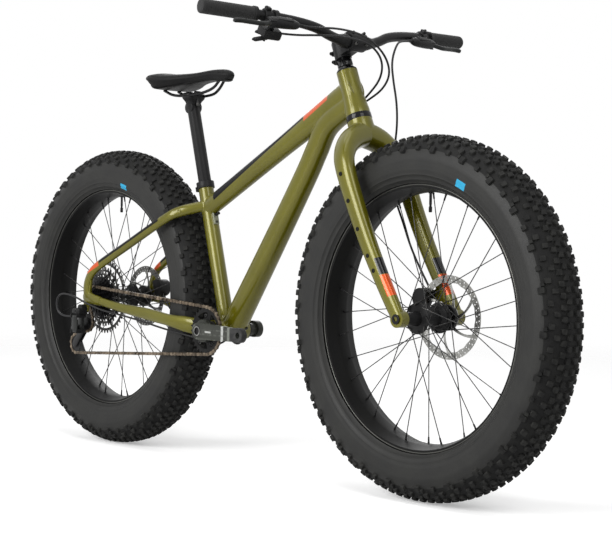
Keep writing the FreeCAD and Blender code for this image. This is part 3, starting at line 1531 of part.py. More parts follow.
def link(side):
    top = link_center(True) + left * (side * link_half_spread)
    bottom = link_center(False) + left * (side * link_half_spread)
    start = top - ahead * (link_width / 2)
    far = bottom - ahead * (link_width / 2)
    half = left * (link_thickness / 2)
    body = prism([start - half, far - half, far + half, start + half], ahead * link_width)
    eye_radius = link_thickness / 2 + link_pin_radius / 2
    eyes = [cylinder(point, ahead, eye_radius, link_width) for point in (start, far)]
    solid = fused([body, *eyes])
    for point in (start, far):
        solid = solid.cut(cylinder(point - ahead * overrun, ahead, link_pin_radius + running_gap,
                                   link_width + 2 * overrun))
    return solid


def derailleur(angle, phases):
    outer_face = -rear_hub_width / 2 - dropout_thickness
    hanger = rear_axle_at - vec(hanger_back, 0, hanger_drop)
    mount = cylinder(hanger + left * (outer_face - knuckle_length), left, knuckle_radius, knuckle_length)
    bolt = cylinder(hanger + left * outer_face, left, knuckle_bolt_radius, dropout_thickness)
    top = link_center(True)
    web = block((vec(hanger.x, top.y, hanger.z) + top) * (1 / 2), (ahead, left, above),
                (abs(hanger.x - top.x) / 2 + knuckle_cheek, knuckle_block_half, link_eye_radius))
    nodes["derailleur_knuckle"] = fused([mount, bolt, web] + knuckle_frame(top))
    nodes["derailleur_outer_link"] = link(-1)
    nodes["derailleur_inner_link"] = link(1)
    guide, tension = cage_points(angle)
    pivot = rear_axle_at + vec(-cage_pivot_back, 0, -cage_pivot_drop)
    plane = cog_offset(driven_cog)
    outer_plate = plane - cage_half_gap - cage_plate
    boss_start = outer_plate - seat_gap
    bottom = link_center(False)
    boss = ring(pivot + left * bottom.y, left, cage_boss_radius, cage_bolt_radius + running_gap,
                boss_start - bottom.y)
    nodes["derailleur_lower_knuckle"] = fused(knuckle_frame(bottom) + [boss]).cut(
        cylinder(pivot + left * (bottom.y - link_half_spread), left, cage_bolt_radius + running_gap,
                 boss_start - bottom.y + 2 * link_half_spread))
    plates = []
    for base in (outer_plate, plane + cage_half_gap):
        across = unit(tension - guide).cross(left) * cage_width
        shift = left * base
        corners = [guide - across + shift, tension - across + shift,
                   tension + across + shift, guide + across + shift]
        strip = prism(corners, left * cage_plate)
        ends = [cylinder(point + shift, left, cage_width, cage_plate) for point in (guide, tension)]
        plates.append(fused([strip, *ends]))
    span = 2 * (cage_half_gap + cage_plate)
    pins = [cylinder(point + left * outer_plate, left, pulley_bore_radius, span) for point in (guide, tension)]
    stub = cylinder(pivot + left * (bottom.y - knuckle_block_half), left, cage_bolt_radius,
                    outer_plate - bottom.y + knuckle_block_half)
    nodes["derailleur_cage"] = fused(plates + pins + [stub])
    for name, center, wheel in (("guide_pulley", guide, 3), ("tension_pulley", tension, 2)):
        nodes[name] = sprocket(center, pulley_teeth, plane, pulley_thickness, phases[wheel],
                               pulley_bore_radius + running_gap)


# Assembly of the node list
def build_wheels():
    hub_half = front_hub_width / 2 - fork_hub_gap
    front_flanges = (-front_flange_offset, front_flange_offset)
    rear_flanges = (-rear_right_flange_offset, rear_left_flange_offset)
    nodes["front_hub"] = hub(front_axle_at, (-hub_half, hub_half), front_flanges, front_rotor_offset,
                             front_axle_radius, hub_barrel_radius)
    nodes["rear_hub"] = hub(rear_axle_at, (rear_hub_right(), rear_hub_width / 2 - fork_hub_gap), rear_flanges,
                            rear_rotor_offset(), rear_axle_radius, hub_barrel_radius)
    for name, axle, flanges in (("front", front_axle_at, front_flanges), ("rear", rear_axle_at, rear_flanges)):
        nodes[name + "_tire"] = tire(axle)
        nodes[name + "_rim"] = rim(axle)
        nodes[name + "_spokes"] = spokes(axle, flanges)
    nodes["front_rotor"] = rotor(front_axle_at, front_rotor_radius, front_rotor_offset)
    nodes["rear_rotor"] = rotor(rear_axle_at, rear_rotor_radius, rear_rotor_offset())
    fork_outer = front_hub_width / 2 + fork_dropout_thickness
    nodes["front_axle"] = axle_rod(front_axle_at, fork_outer, fork_outer, front_axle_radius,
                                   front_axle_bore_radius, -1)
    frame_outer = dropout_inner() + dropout_thickness
    nodes["rear_axle"] = axle_rod(rear_axle_at, frame_outer, frame_outer, rear_axle_radius,
                                  rear_axle_bore_radius, 1)


def build_fork():
    nodes["fork_crown"] = fork_crown()
    leg = fork_leg()
    nodes["fork_legs"] = group([fused([leg, front_brake_tab()]), mirrored(leg)])
    nodes["steerer_tube"] = group([steerer_tube(), *headset_spacers()])


def build_brakes():
    for name, axle, radius, offset, angle in (
            ("front", front_axle_at, front_rotor_radius, front_rotor_offset, front_caliper_angle),
            ("rear", rear_axle_at, rear_rotor_radius, rear_rotor_offset(), rear_caliper_angle)):
        nodes[name + "_caliper"] = caliper(axle, radius, offset, angle)
        nodes[name + "_pad_left"] = pad(axle, radius, offset, angle, 1)
        nodes[name + "_pad_right"] = pad(axle, radius, offset, angle, -1)


def build_cockpit():
    nodes["stem"] = group(stem_pieces())
    nodes["handlebar"] = handlebar()
    one_grip = grip()
    nodes["grips"] = group([one_grip, mirrored(one_grip)])
    body = lever_body()
    nodes["lever_bodies"] = group([body, mirrored(body)])
    blade = brake_lever()
    nodes["brake_lever_left"] = blade
    nodes["brake_lever_right"] = mirrored(blade)
    nodes["shifter_body"] = mirrored(shifter_body())
    nodes["upshift_lever"] = mirrored(paddle(0, upshift_reach, upshift_forth_share))
    nodes["downshift_lever"] = mirrored(paddle(1, downshift_reach, downshift_forth_share))


def build_drive():
    angle, links = settled_cage()
    pins, phases = chain_pins(angle, links)
    print("chain links", links, "cage angle", round(angle, 2), "pins", len(pins))
    nodes["chain"] = chain(pins)
    nodes["cassette"] = cassette(phases[0])
    cranks(phases[1])
    derailleur(angle, phases)


def build_saddle():
    nodes["seatpost"] = seatpost()
    nodes["seat_clamp"] = seat_clamp()
    nodes["saddle"] = saddle()
    nodes["saddle_base"] = group([saddle_base(), *saddle_rails()])


def build_hoses():
    nodes["rear_brake_hose"] = group([cord("rear hose, front stretch", rear_hose_front_route, hose_radius),
                                      cord("rear hose, rear stretch", rear_hose_rear_route, hose_radius)])
    nodes["shift_housing"] = group([cord("housing, front stretch", shift_front_route, hose_radius),
                                    cord("housing, rear stretch", shift_rear_route, hose_radius)])
    nodes["front_brake_hose"] = cord("front hose", front_hose_route, hose_radius)


def main():
    front_solids = main_tubes()
    nodes["headset_cups"] = headset_cups()
    nodes["seat_collar"] = seat_collar()
    rear_triangle(front_solids)
    build_fork()
    build_wheels()
    build_brakes()
    build_cockpit()
    build_drive()
    build_saddle()
    build_hoses()
    os.makedirs("parts", exist_ok=True)
    for name, shape in nodes.items():
        shape.exportStep("parts/" + name + ".step")
    print(len(nodes), "nodes")


main()
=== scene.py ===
import bmesh
import bpy
import math
from mathutils import Matrix, Vector


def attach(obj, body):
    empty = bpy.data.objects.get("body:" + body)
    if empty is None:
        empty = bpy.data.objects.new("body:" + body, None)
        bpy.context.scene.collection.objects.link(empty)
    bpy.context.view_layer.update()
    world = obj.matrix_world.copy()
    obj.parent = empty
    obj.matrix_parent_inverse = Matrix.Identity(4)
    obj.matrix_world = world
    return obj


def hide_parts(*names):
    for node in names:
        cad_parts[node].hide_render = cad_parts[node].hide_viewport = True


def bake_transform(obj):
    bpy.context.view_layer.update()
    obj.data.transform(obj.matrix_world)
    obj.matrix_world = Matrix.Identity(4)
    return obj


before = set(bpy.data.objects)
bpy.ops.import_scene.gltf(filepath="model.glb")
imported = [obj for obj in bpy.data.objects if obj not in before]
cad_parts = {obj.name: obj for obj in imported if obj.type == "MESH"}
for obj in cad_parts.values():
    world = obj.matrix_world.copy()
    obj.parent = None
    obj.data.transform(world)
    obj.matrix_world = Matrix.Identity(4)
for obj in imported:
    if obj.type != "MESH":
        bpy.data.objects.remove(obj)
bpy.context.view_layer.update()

mm = 0.001
aheadWay, leftWay, upWay = Vector((1, 0, 0)), Vector((0, 1, 0)), Vector((0, 0, 1))
axleUp, frontAxle, rearAxle = 385, 560, -560


def place(x, y, z):
    return Vector((x * mm, y * mm, z * mm))


def wheelSpot(axle, turn, r, y):  # a place about an axle
    return place(axle + r * math.cos(turn), y, axleUp + r * math.sin(turn))


def colour(r, g, b):  # screen colour to linear
    shades = []
    for c in (r, g, b):
        c = c / 255
        shades.append(c / 12.92 if c <= 0.04045 else ((c + 0.055) / 1.055) ** 2.4)
    return (*shades, 1.0)


def toMesh(name, bm):
    mesh = bpy.data.meshes.new(name)
    bm.to_mesh(mesh)
    bm.free()
    return mesh


def addObject(name, data):
    obj = bpy.data.objects.new(name, data)
    bpy.context.scene.collection.objects.link(obj)
    return obj


# camera, solved from the wheels' outlines
cameraSet = {"place": (2.7439, -2.3076, 0.5536), "yaw": 138.139, "pitch": -1.148, "roll": 0.976,
             "lens": 88.96, "shiftX": 0.0023, "shiftY": -0.0018}


def setCamera():
    yaw, pitch, roll = (math.radians(cameraSet[k]) for k in ("yaw", "pitch", "roll"))
    look = Vector((math.cos(pitch) * math.cos(yaw), math.cos(pitch) * math.sin(yaw), math.sin(pitch)))
    flat = look.cross(upWay).normalized()
    lift = flat.cross(look)
    right = flat * math.cos(roll) + lift * math.sin(roll)
    up = lift * math.cos(roll) - flat * math.sin(roll)
    data = bpy.data.cameras.new("photo_camera")
    data.lens = cameraSet["lens"]
    data.sensor_fit = "HORIZONTAL"
    data.shift_x = cameraSet["shiftX"]
    data.shift_y = cameraSet["shiftY"]
    camera = addObject("photo_camera", data)
    turn = Matrix((right, up, -look)).transposed().to_4x4()
    camera.matrix_world = Matrix.Translation(Vector(cameraSet["place"])) @ turn
    bpy.context.scene.camera = camera


setCamera()
print("camera set")


# shader helpers
def put(tree, kind, sockets=None, **settings):
    node = tree.nodes.new(kind)
    for key, value in settings.items():
        setattr(node, key, value)
    for key, value in (sockets or {}).items():
        if isinstance(value, bpy.types.NodeSocket):
            tree.links.new(value, node.inputs[key])
        else:
            node.inputs[key].default_value = value
    return node


def sums(tree, operation, a, b):
    return put(tree, "ShaderNodeMath", {0: a, 1: b}, operation=operation).outputs[0]


def vectors(tree, operation, a, b):
    return put(tree, "ShaderNodeVectorMath", {0: a, 1: b}, operation=operation)


def blendColour(tree, share, a, b):
    return put(tree, "ShaderNodeMix", {0: share, 6: a, 7: b}, data_type="RGBA").outputs[2]


def ramp(tree, value, low, high, start=0.0, end=1.0, smooth=True):
    node = put(tree, "ShaderNodeMapRange", {0: value, 1: low, 2: high, 3: start, 4: end})
    node.interpolation_type = "SMOOTHSTEP" if smooth else "LINEAR"
    return node.outputs[0]


def ownSpot(tree):
    return put(tree, "ShaderNodeTexCoord").outputs["Object"]


def newGroup(name, inputs, outputs):
    group = bpy.data.node_groups.new(name, "ShaderNodeTree")
    for label, value in inputs.items():
        kind = "NodeSocketVector" if isinstance(value, tuple) else "NodeSocketFloat"
        group.interface.new_socket(name=label, in_out="INPUT", socket_type=kind).default_value = value
    for label in outputs:
        group.interface.new_socket(name=label, in_out="OUTPUT", socket_type="NodeSocketFloat")
    return group, group.nodes.new("NodeGroupInput").outputs, group.nodes.new("NodeGroupOutput").inputs


noiseSpan = (0.3, 0.7)  # where nearly all of a noise lies
chipSpan = (0.38, 0.62)


def grainGroup():  # fine grain and wide blotches, in the piece's own space
    group, given, out = newGroup("surfaceGrain", {"Grain Scale": 900.0, "Blotch Scale": 9.0, "Stretch": (1, 1, 1)},
                                 ["Grain", "Blotch"])
    spot = ownSpot(group)
    drawn = vectors(group, "MULTIPLY", spot, given["Stretch"]).outputs[0]
    fine = put(group, "ShaderNodeTexNoise", {"Vector": drawn, "Scale": given["Grain Scale"], "Detail": 5.0})
    wide = put(group, "ShaderNodeTexNoise", {"Vector": spot, "Scale": given["Blotch Scale"], "Detail": 3.0})
    group.links.new(fine.outputs[0], out["Grain"])
    group.links.new(ramp(group, wide.outputs[0], *noiseSpan), out["Blotch"])
    return group


def wearGroup():  # rubbed edges, broken up by noise
    group, given, out = newGroup("edgeWear", {"Start": 0.53, "Full": 0.62, "Scatter": 70.0}, ["Worn"])
    edge = put(group, "ShaderNodeNewGeometry").outputs["Pointiness"]
    lift = ramp(group, edge, given["Start"], given["Full"])
    chips = put(group, "ShaderNodeTexNoise", {"Vector": ownSpot(group), "Scale": given["Scatter"], "Detail": 4.0})
    group.links.new(sums(group, "MULTIPLY", lift, ramp(group, chips.outputs[0], *chipSpan)), out["Worn"])
    return group


def planesGroup():  # 1 between two planes across a direction
    group, given, out = newGroup("betweenPlanes", {"Origin": (0, 0, 0), "Direction": (0, 0, 1), "Low": 0.0,
                                                   "High": 1.0, "Soft": 0.0006}, ["Inside"])
    off = vectors(group, "SUBTRACT", ownSpot(group), given["Origin"]).outputs[0]
    far = vectors(group, "DOT_PRODUCT", off, given["Direction"]).outputs["Value"]
    steps = []
    for label in ("Low", "High"):
        start = sums(group, "SUBTRACT", given[label], given["Soft"])
        steps.append(ramp(group, far, start, sums(group, "ADD", given[label], given["Soft"])))
    group.links.new(sums(group, "SUBTRACT", *steps), out["Inside"])
    return group


def flakeGroup():  # tiny bright flakes under the lacquer
    group, given, out = newGroup("paintFlake", {"Flake Scale": 2600.0}, ["Sparkle"])
    cells = put(group, "ShaderNodeTexVoronoi", {"Vector": ownSpot(group), "Scale": given["Flake Scale"]})
    tone = put(group, "ShaderNodeSeparateColor", {0: cells.outputs["Color"]}).outputs[0]
    group.links.new(tone, out["Sparkle"])
    return group


groups = {"grain": grainGroup(), "wear": wearGroup(), "planes": planesGroup(), "flake": flakeGroup()}


def useGroup(tree, key, sockets):
    node = tree.nodes.new("ShaderNodeGroup")
    node.node_tree = groups[key]
    for label, value in sockets.items():
        node.inputs[label].default_value = value
    return node


def slabMask(tree, slabs):
    mask = None
    for origin, way, low, high in slabs:
        share = useGroup(tree, "planes", {"Origin": [c * mm for c in origin], "Direction": way, "Low": low * mm,
                                          "High": high * mm}).outputs[0]
        mask = share if mask is None else sums(tree, "MULTIPLY", mask, share)
    return mask


plainLook = dict(blotch=9.0, stretch=(1, 1, 1), bump=0.1, relief=0.0003, metal=0.0, coat=0.0, coatRough=0.08,
                 shine=0.3, sheen=0.0, wear=(0.53, 0.64), bands=[])
lookSockets = {"Metallic": "metal", "Coat Weight": "coat", "Coat Roughness": "coatRough",
               "Specular IOR Level": "shine", "Sheen Weight": "sheen"}
flakeSpan = (0.8, 1.0)
flatCoat = 0.1  # share of the clear coat that a flat band keeps


def makeFinish(name, look):
    look = {**plainLook, **look}
    material = bpy.data.materials.new(name)
    material.use_nodes = True
    tree = material.node_tree
    tree.nodes.clear()
    skin = put(tree, "ShaderNodeBsdfPrincipled")
    put(tree, "ShaderNodeOutputMaterial", {0: skin.outputs[0]})
    grain = useGroup(tree, "grain", {"Grain Scale": look["grain"], "Blotch Scale": look["blotch"],
                                     "Stretch": look["stretch"]}).outputs
    tone = blendColour(tree, grain["Blotch"], colour(*look["base"]), colour(*look["shade"]))
    if "flake" in look:
        sparkle = useGroup(tree, "flake", {"Flake Scale": look["flake"]}).outputs[0]
        share = ramp(tree, sparkle, *flakeSpan, 0.0, look["flakeShare"])
        tone = blendColour(tree, share, tone, colour(*look["flakeTone"]))
    flatShare = None
    for band in look["bands"]:
        shares = [slabMask(tree, slabs) for slabs in band["places"]]
        mask = shares[0]
        for other in shares[1:]:
            mask = sums(tree, "MAXIMUM", mask, other)
        tone = blendColour(tree, mask, tone, colour(*band["tone"]))
        flatShare = mask if band.get("flat") else flatShare
    if "wearTone" in look:
        start, full = look["wear"]
        worn = useGroup(tree, "wear", {"Start": start, "Full": full}).outputs[0]
        tone = blendColour(tree, worn, tone, colour(*look["wearTone"]))
    tree.links.new(tone, skin.inputs["Base Color"])
    tree.links.new(ramp(tree, grain["Grain"], *noiseSpan, *look["rough"], False), skin.inputs["Roughness"])
    bump = put(tree, "ShaderNodeBump", {"Strength": look["bump"], "Distance": look["relief"],
                                        "Height": grain["Grain"]})
    tree.links.new(bump.outputs[0], skin.inputs["Normal"])
    for label, key in lookSockets.items():
        skin.inputs[label].default_value = look[key]
    if flatShare is not None:
        coat = ramp(tree, flatShare, 0.0, 1.0, look["coat"], flatCoat * look["coat"])
        tree.links.new(coat, skin.inputs["Coat Weight"])
    return material


# mesh helpers
def ovalRing(center, across, up, wide, tall, count, square=2.0):
    ring = []
    for k in range(count):
        c, s = math.cos(2 * math.pi * k / count), math.sin(2 * math.pi * k / count)
        a = math.copysign(abs(c) ** (2 / square), c)
        b = math.copysign(abs(s) ** (2 / square), s)
        ring.append(center + across * (wide * a) + up * (tall * b))
    return ring


def skinRings(bm, rings, caps=True, tone=0, loop=False):
    rows = [[bm.verts.new(p) for p in ring] for ring in rings]
    pairs = list(zip(rows, rows[1:])) + ([(rows[-1], rows[0])] if loop else [])
    count = len(rows[0])
    for a, b in pairs:
        for k in range(count):
            n = (k + 1) % count
            bm.faces.new((a[k], a[n], b[n], b[k])).material_index = tone
    if caps and not loop:
        bm.faces.new(rows[0][::-1]).material_index = tone
        bm.faces.new(rows[-1]).material_index = tone


def between(stations, steps):  # smooth run through rows of numbers
    rows = []
    for i in range(len(stations) - 1):
        b, c = stations[i], stations[i + 1]
        a = stations[i - 1] if i else [2 * p - q for p, q in zip(b, c)]
        d = stations[i + 2] if i + 2 < len(stations) else [2 * q - p for p, q in zip(b, c)]
        for k in range(steps):
            t = k / steps
            rows.append([0.5 * (2 * q + (r - p) * t + (2 * p - 5 * q + 4 * r - s) * t * t
                                + (3 * q - p - 3 * r + s) * t ** 3) for p, q, r, s in zip(a, b, c, d)])
    rows.append(list(stations[-1]))
    return rows


def ovalSweep(bm, stations, side, steps=8, count=36, square=2.0):  # rows: x, y, z, wide, tall in mm
    rows = between(stations, steps)
    centers = [place(*row[:3]) for row in rows]
    rings = []
    for i, row in enumerate(rows):
        along = (centers[min(i + 1, len(rows) - 1)] - centers[max(i - 1, 0)]).normalized()
        across = (side - along * side.dot(along)).normalized()
        rings.append(ovalRing(centers[i], across, along.cross(across), row[3] * mm, row[4] * mm, count, square))
    skinRings(bm, rings)


def crossWay(along):
    return along.cross(upWay if abs(along.z) < 0.8 else aheadWay).normalized()


def turnOn(bm, origin, axis, profile, count=48, tone=0, loop=False):  # profile: offset, radius in mm
    axis = axis.normalized()
    across = crossWay(axis)
    up = axis.cross(across)
    rings = [ovalRing(origin + axis * (s * mm), across, up, r * mm, r * mm, count) for s, r in profile]
    skinRings(bm, rings, True, tone, loop)


def ringOn(bm, origin, axis, start, end, inner, outer, count=48, tone=0, soft=0.6):
    turnOn(bm, origin, axis, [(start, inner), (start, outer - soft), (start + soft, outer), (end - soft, outer),
                              (end, outer - soft), (end, inner)], count, tone, True)


def tubeAlong(bm, points, radius, count=12, tone=0):  # radius in metres, one or a list
    across = None
    rings = []
    for i, p in enumerate(points):
        along = (points[min(i + 1, len(points) - 1)] - points[max(i - 1, 0)]).normalized()
        across = crossWay(along) if across is None else (across - along * across.dot(along)).normalized()
        r = radius[i] if isinstance(radius, list) else radius
        rings.append(ovalRing(p, across, along.cross(across), r, r, count))
    skinRings(bm, rings, True, tone)


def pour(bm, other):
    mesh = toMesh("pour", other)
    bm.from_mesh(mesh)
    bpy.data.meshes.remove(mesh)


def roundBlock(bm, center, axes, halves, soft, tone=0):
    other = bmesh.new()
    bmesh.ops.create_cube(other, size=2.0)
    for v in other.verts:
        v.co = center + sum((axes[k].normalized() * (v.co[k] * halves[k] * mm) for k in range(3)), Vector())
    bmesh.ops.bevel(other, geom=other.edges[:], offset=soft * mm, segments=3, profile=0.5, affect="EDGES")
    for f in other.faces:
        f.material_index = tone
    pour(bm, other)


boltSet = {"sides": 18, "rows": ((0.75, 1, False), (1, 0.84, False), (1, 0.58, True), (0.3, 0.56, True))}


def socketBolt(bm, center, axis, radius, tall, tone=0, sink=1.0):  # round head with a six-sided socket
    axis = axis.normalized()
    across = crossWay(axis)
    up = axis.cross(across)
    rings = []
    for s, r, hexed in [(-sink, radius, False)] + [(tall * a, radius * b, hexed) for a, b, hexed in boltSet["rows"]]:
        ring = []
        for k in range(boltSet["sides"]):
            turn = 2 * math.pi * k / boltSet["sides"]
            reach = r * (math.cos(math.pi / 6) / math.cos((turn % (math.pi / 3)) - math.pi / 6) if hexed else 1)
            ring.append(center + axis * (s * mm) + (across * math.cos(turn) + up * math.sin(turn)) * (reach * mm))
        rings.append(ring)
    skinRings(bm, rings, True, tone)


def otherSide(points):
    return [Vector((p.x, -p.y, p.z)) for p in points]


def mirror(bm):
    other = bm.copy()
    for v in other.verts:
        v.co.y = -v.co.y
    bmesh.ops.reverse_faces(other, faces=other.faces[:])
    return other


def bothSides(bm):
    pour(bm, mirror(bm))


def newPiece(name, bm, finishes, body, nodes=(), sharp=32):
    bmesh.ops.recalc_face_normals(bm, faces=bm.faces[:])
    mesh = toMesh(name, bm)
    mesh.shade_smooth()
    mesh.set_sharp_from_angle(angle=math.radians(sharp))
    for finish in finishes:
        mesh.materials.append(finish)
    obj = addObject(name, mesh)
    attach(obj, body)
    if nodes:
        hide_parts(*nodes)
    return obj


def evaluated(obj):
    bpy.context.view_layer.update()
    return bpy.data.meshes.new_from_object(obj.evaluated_get(bpy.context.evaluated_depsgraph_get()))


weldSet = {"voxel": 2.2, "smooths": 9, "grow": 0.25}


def weld(bm):  # fuse overlapping forms and soften the joints
    bmesh.ops.recalc_face_normals(bm, faces=bm.faces[:])
    mesh = toMesh("weld", bm)
    obj = addObject("weld", mesh)
    fuse = obj.modifiers.new("fuse", "REMESH")
    fuse.mode = "VOXEL"
    fuse.voxel_size = weldSet["voxel"] * mm
    relax = obj.modifiers.new("relax", "SMOOTH")
    relax.factor = 0.5
    relax.iterations = weldSet["smooths"]
    done = evaluated(obj)
    bpy.data.objects.remove(obj)
    bpy.data.meshes.remove(mesh)
    return done


def overlaid(bm):  # the weld gives the fillets, the forms themselves lie a hair above it
    forms = bm.copy()
    bmesh.ops.recalc_face_normals(forms, faces=forms.faces[:])
    forms.normal_update()
    for v in forms.verts:
        v.co += v.normal * (weldSet["grow"] * mm)
    mesh = weld(bm)
    both = bmesh.new()
    both.from_mesh(mesh)
    bpy.data.meshes.remove(mesh)
    pour(both, forms)
    return both


easeAngle = 28  # only edges sharper than this are eased


def softened(node, soft, steps):  # a copy of a CAD solid with eased edges
    bm = bmesh.new()
    bm.from_mesh(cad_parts[node].data)
    bmesh.ops.remove_doubles(bm, verts=bm.verts[:], dist=1e-6)
    bmesh.ops.dissolve_limit(bm, angle_limit=math.radians(1.0), verts=bm.verts[:], edges=bm.edges[:])
    sharp = [e for e in bm.edges if len(e.link_faces) == 2 and e.calc_face_angle(0) > math.radians(easeAngle)]
    bmesh.ops.bevel(bm, geom=sharp, offset=soft * mm, segments=steps, profile=0.5, affect="EDGES", clamp_overlap=True)
    return bm


def cutCorners(points, rounds):  # smooth path for bar and rails, which keeps its ends
    for _ in range(rounds):
        path = [points[0]]
        for a, b in zip(points, points[1:]):
            path += [a * 0.75 + b * 0.25, a * 0.25 + b * 0.75]
        points = path + [points[-1]]
    return points


print("tools ready")

# finishes
olive = dict(base=(97, 93, 4), shade=(87, 83, 2), flake=2800.0, flakeTone=(146, 143, 66), flakeShare=0.18,
             grain=700.0, blotch=5.0, rough=(0.3, 0.42), bump=0.012, metal=0.35, shine=0.12, coat=0.65,
             coatRough=0.16, wearTone=(126, 124, 58), wear=(0.56, 0.7))
stripeTone, patchTone = (7, 7, 9), (198, 76, 14)
topUp = (-0.4992, 0, 0.8671)  # leans so that the stripe narrows to the front
topAlong = (0.8821, 0, 0.4711)
topEdge = (-197.6, 0, 637.3)
stayUp = (-0.442, 0, 0.897)
stayAlong = (-0.897, 0, -0.442)
stayBend = (-272.0, 0, 588.0)
framePaint = makeFinish("olive_frame_paint", dict(olive, bands=[
    {"tone": stripeTone, "flat": True, "places": [
        [(topEdge, topUp, -27.4, 30), (topEdge, topAlong, 46, 412)],
        [(stayBend, stayUp, 1.5, 16), (stayBend, stayAlong, 14, 262)]]},
    {"tone": patchTone, "places": [
        [(topEdge, topUp, -35, 30), (topEdge, topAlong, 414, 503)],
        [(stayBend, stayUp, -4, 16), (stayBend, stayAlong, 264, 322)]]}]))
plainPaint = makeFinish("olive_plain_paint", olive)
legUp = (-0.3665, 0, 0.93042)
crownAt = (342.1, 0, 807.1)
legFront = (0.88303, 0, 0.46932)  # square to the legs, forward
forkPaint = makeFinish("olive_fork_paint", dict(olive, bands=[
    {"tone": tone, "places": [[(crownAt, legUp, low, high), (crownAt, legFront, -4.5, 40)]]}
    for tone, low, high in ((stripeTone, -372, -334), (patchTone, -422, -373))]))
satinBlack = makeFinish("satin_black_alloy", dict(
    base=(25, 25, 25), shade=(20, 20, 21), grain=1500.0, blotch=14.0, rough=(0.34, 0.5), bump=0.06, metal=0.15,
    shine=0.2, wearTone=(72, 72, 71), wear=(0.56, 0.74)))
darkAlloy = makeFinish("charcoal_alloy", dict(
    base=(44, 45, 44), shade=(36, 37, 37), grain=1100.0, stretch=(1, 6, 6), rough=(0.3, 0.48), bump=0.08, metal=0.6,
    wearTone=(140, 140, 136), wear=(0.56, 0.72)))
glossBlack = makeFinish("gloss_black_lacquer", dict(
    base=(9, 9, 10), shade=(7, 7, 8), grain=700.0, rough=(0.16, 0.26), bump=0.02, shine=0.1, coat=0.3, coatRough=0.05,
    wearTone=(80, 80, 80), wear=(0.6, 0.8)))
brightSteel = makeFinish("brushed_steel", dict(
    base=(158, 158, 154), shade=(134, 134, 131), grain=1800.0, stretch=(1, 9, 1), rough=(0.2, 0.38), metal=1.0,
    wearTone=(196, 196, 192)))
# darker copy of the rotor steel, used on the rear rotor only: painted shade
rearRotorShadedSteel = makeFinish("rear_rotor_shaded_steel", dict(
    base=(96, 96, 93), shade=(80, 80, 78), grain=1800.0, stretch=(1, 9, 1), rough=(0.26, 0.42), metal=0.9,
    wearTone=(132, 132, 128)))
blackSteel = makeFinish("blackened_steel", dict(
    base=(34, 34, 35), shade=(26, 26, 27), grain=1600.0, rough=(0.28, 0.46), bump=0.08, metal=0.6,
    wearTone=(96, 95, 92)))
chainSteel = makeFinish("oiled_chain_steel", dict(
    base=(98, 86, 72), shade=(62, 55, 48), grain=1400.0, blotch=40.0, rough=(0.24, 0.46), bump=0.06, metal=0.8,
    wearTone=(146, 132, 114)))
gripRubber = makeFinish("grip_rubber", dict(
    base=(30, 30, 30), shade=(23, 23, 23), grain=1900.0, rough=(0.62, 0.85), bump=0.25, sheen=0.08,
    wearTone=(58, 58, 57)))
moulded = makeFinish("moulded_black_plastic", dict(
    base=(24, 24, 24), shade=(19, 19, 20), grain=2200.0, rough=(0.42, 0.62), bump=0.2, shine=0.2,
    wearTone=(54, 54, 54), wear=(0.55, 0.75)))
liningGrit = makeFinish("brake_lining", dict(
    base=(74, 66, 58), shade=(52, 48, 44), grain=1500.0, blotch=300.0, rough=(0.7, 0.95), bump=0.4))
rimBlack = makeFinish("rim_black", dict(
    base=(13, 13, 12), shade=(10, 10, 10), grain=900.0, rough=(0.4, 0.56), bump=0.06, shine=0.14,
    wearTone=(46, 46, 45), wear=(0.56, 0.72)))
# lighter metal for a bead on the rim lips: a painted highlight line along the black rim
lipHighlightMetal = makeFinish("rim_lip_painted_highlight", dict(
    base=(92, 92, 88), shade=(78, 78, 75), grain=1500.0, rough=(0.26, 0.4), bump=0.05, metal=0.7))
dullTab = makeFinish("dull_tab_metal", dict(
    base=(128, 130, 112), shade=(112, 114, 98), grain=1300.0, rough=(0.4, 0.58), metal=0.5, wearTone=(160, 160, 150)))
hoseJacket = makeFinish("hose_jacket", dict(base=(26, 26, 27), shade=(21, 21, 22), grain=1500.0, rough=(0.36, 0.52)))
# rubber of the knobs, also laid on the casing between them as painted shade
knobRubberGrooveShade = makeFinish("knob_rubber_and_groove_shade", dict(
    base=(23, 23, 22), shade=(17, 17, 17), grain=1100.0, blotch=30.0, rough=(0.56, 0.78), bump=0.3, relief=0.0004,
    shine=0.16, wearTone=(46, 46, 44), wear=(0.53, 0.66)))
coverFinish = makeFinish("saddle_cover", dict(
    base=(20, 20, 20), shade=(16, 16, 17), grain=1300.0, shine=0.12, blotch=18.0, rough=(0.42, 0.62), bump=0.35,
    relief=0.0004, sheen=0.02, wearTone=(44, 44, 43), wear=(0.53, 0.68)))
print("finishes ready")

# hoses and the shift housing on the build's routes; the front hose's middle points are moved a little
hoseSet = {"radius": 2.4, "sides": 12}
rearHoseFront = [(329, -173.5, 999.9), (337, -132, 998), (362, -86, 1000), (391, -38, 988), (400, 12, 956),
                 (386, 50, 916), (350, 64, 882), (306, 54, 856), (268, 24, 826), (238, 6, 792)]
rearHoseRear = [(-62, 16, 318), (-82, 24, 292), (-116, 34, 285), (-154, 46, 296), (-194, 59, 305), (-240, 68, 312),
                (-290, 74, 320), (-340, 78, 329), (-390, 83, 338), (-432, 85, 346), (-460, 82, 360), (-475, 82, 388)]
shiftFront = [(284, -191.5, 985.5), (294, -152, 984), (326, -110, 986), (366, -64, 984), (389, -14, 970),
              (384, 26, 940), (358, 48, 904), (322, 46, 870), (286, 30, 834), (254, 8, 798)]
shiftRear = [(-66, -16, 322), (-84, -24, 294), (-118, -34, 287), (-154, -44, 297), (-194, -58, 306), (-240, -68, 313),
             (-290, -74, 321), (-340, -78, 330), (-390, -85, 338), (-440, -94, 346), (-490, -106, 353),
             (-540, -119, 368), (-592, -129, 389), (-648.5, -133, 392), (-667, -132, 360), (-648.5, -127, 328),
             (-593.4, -122, 334)]
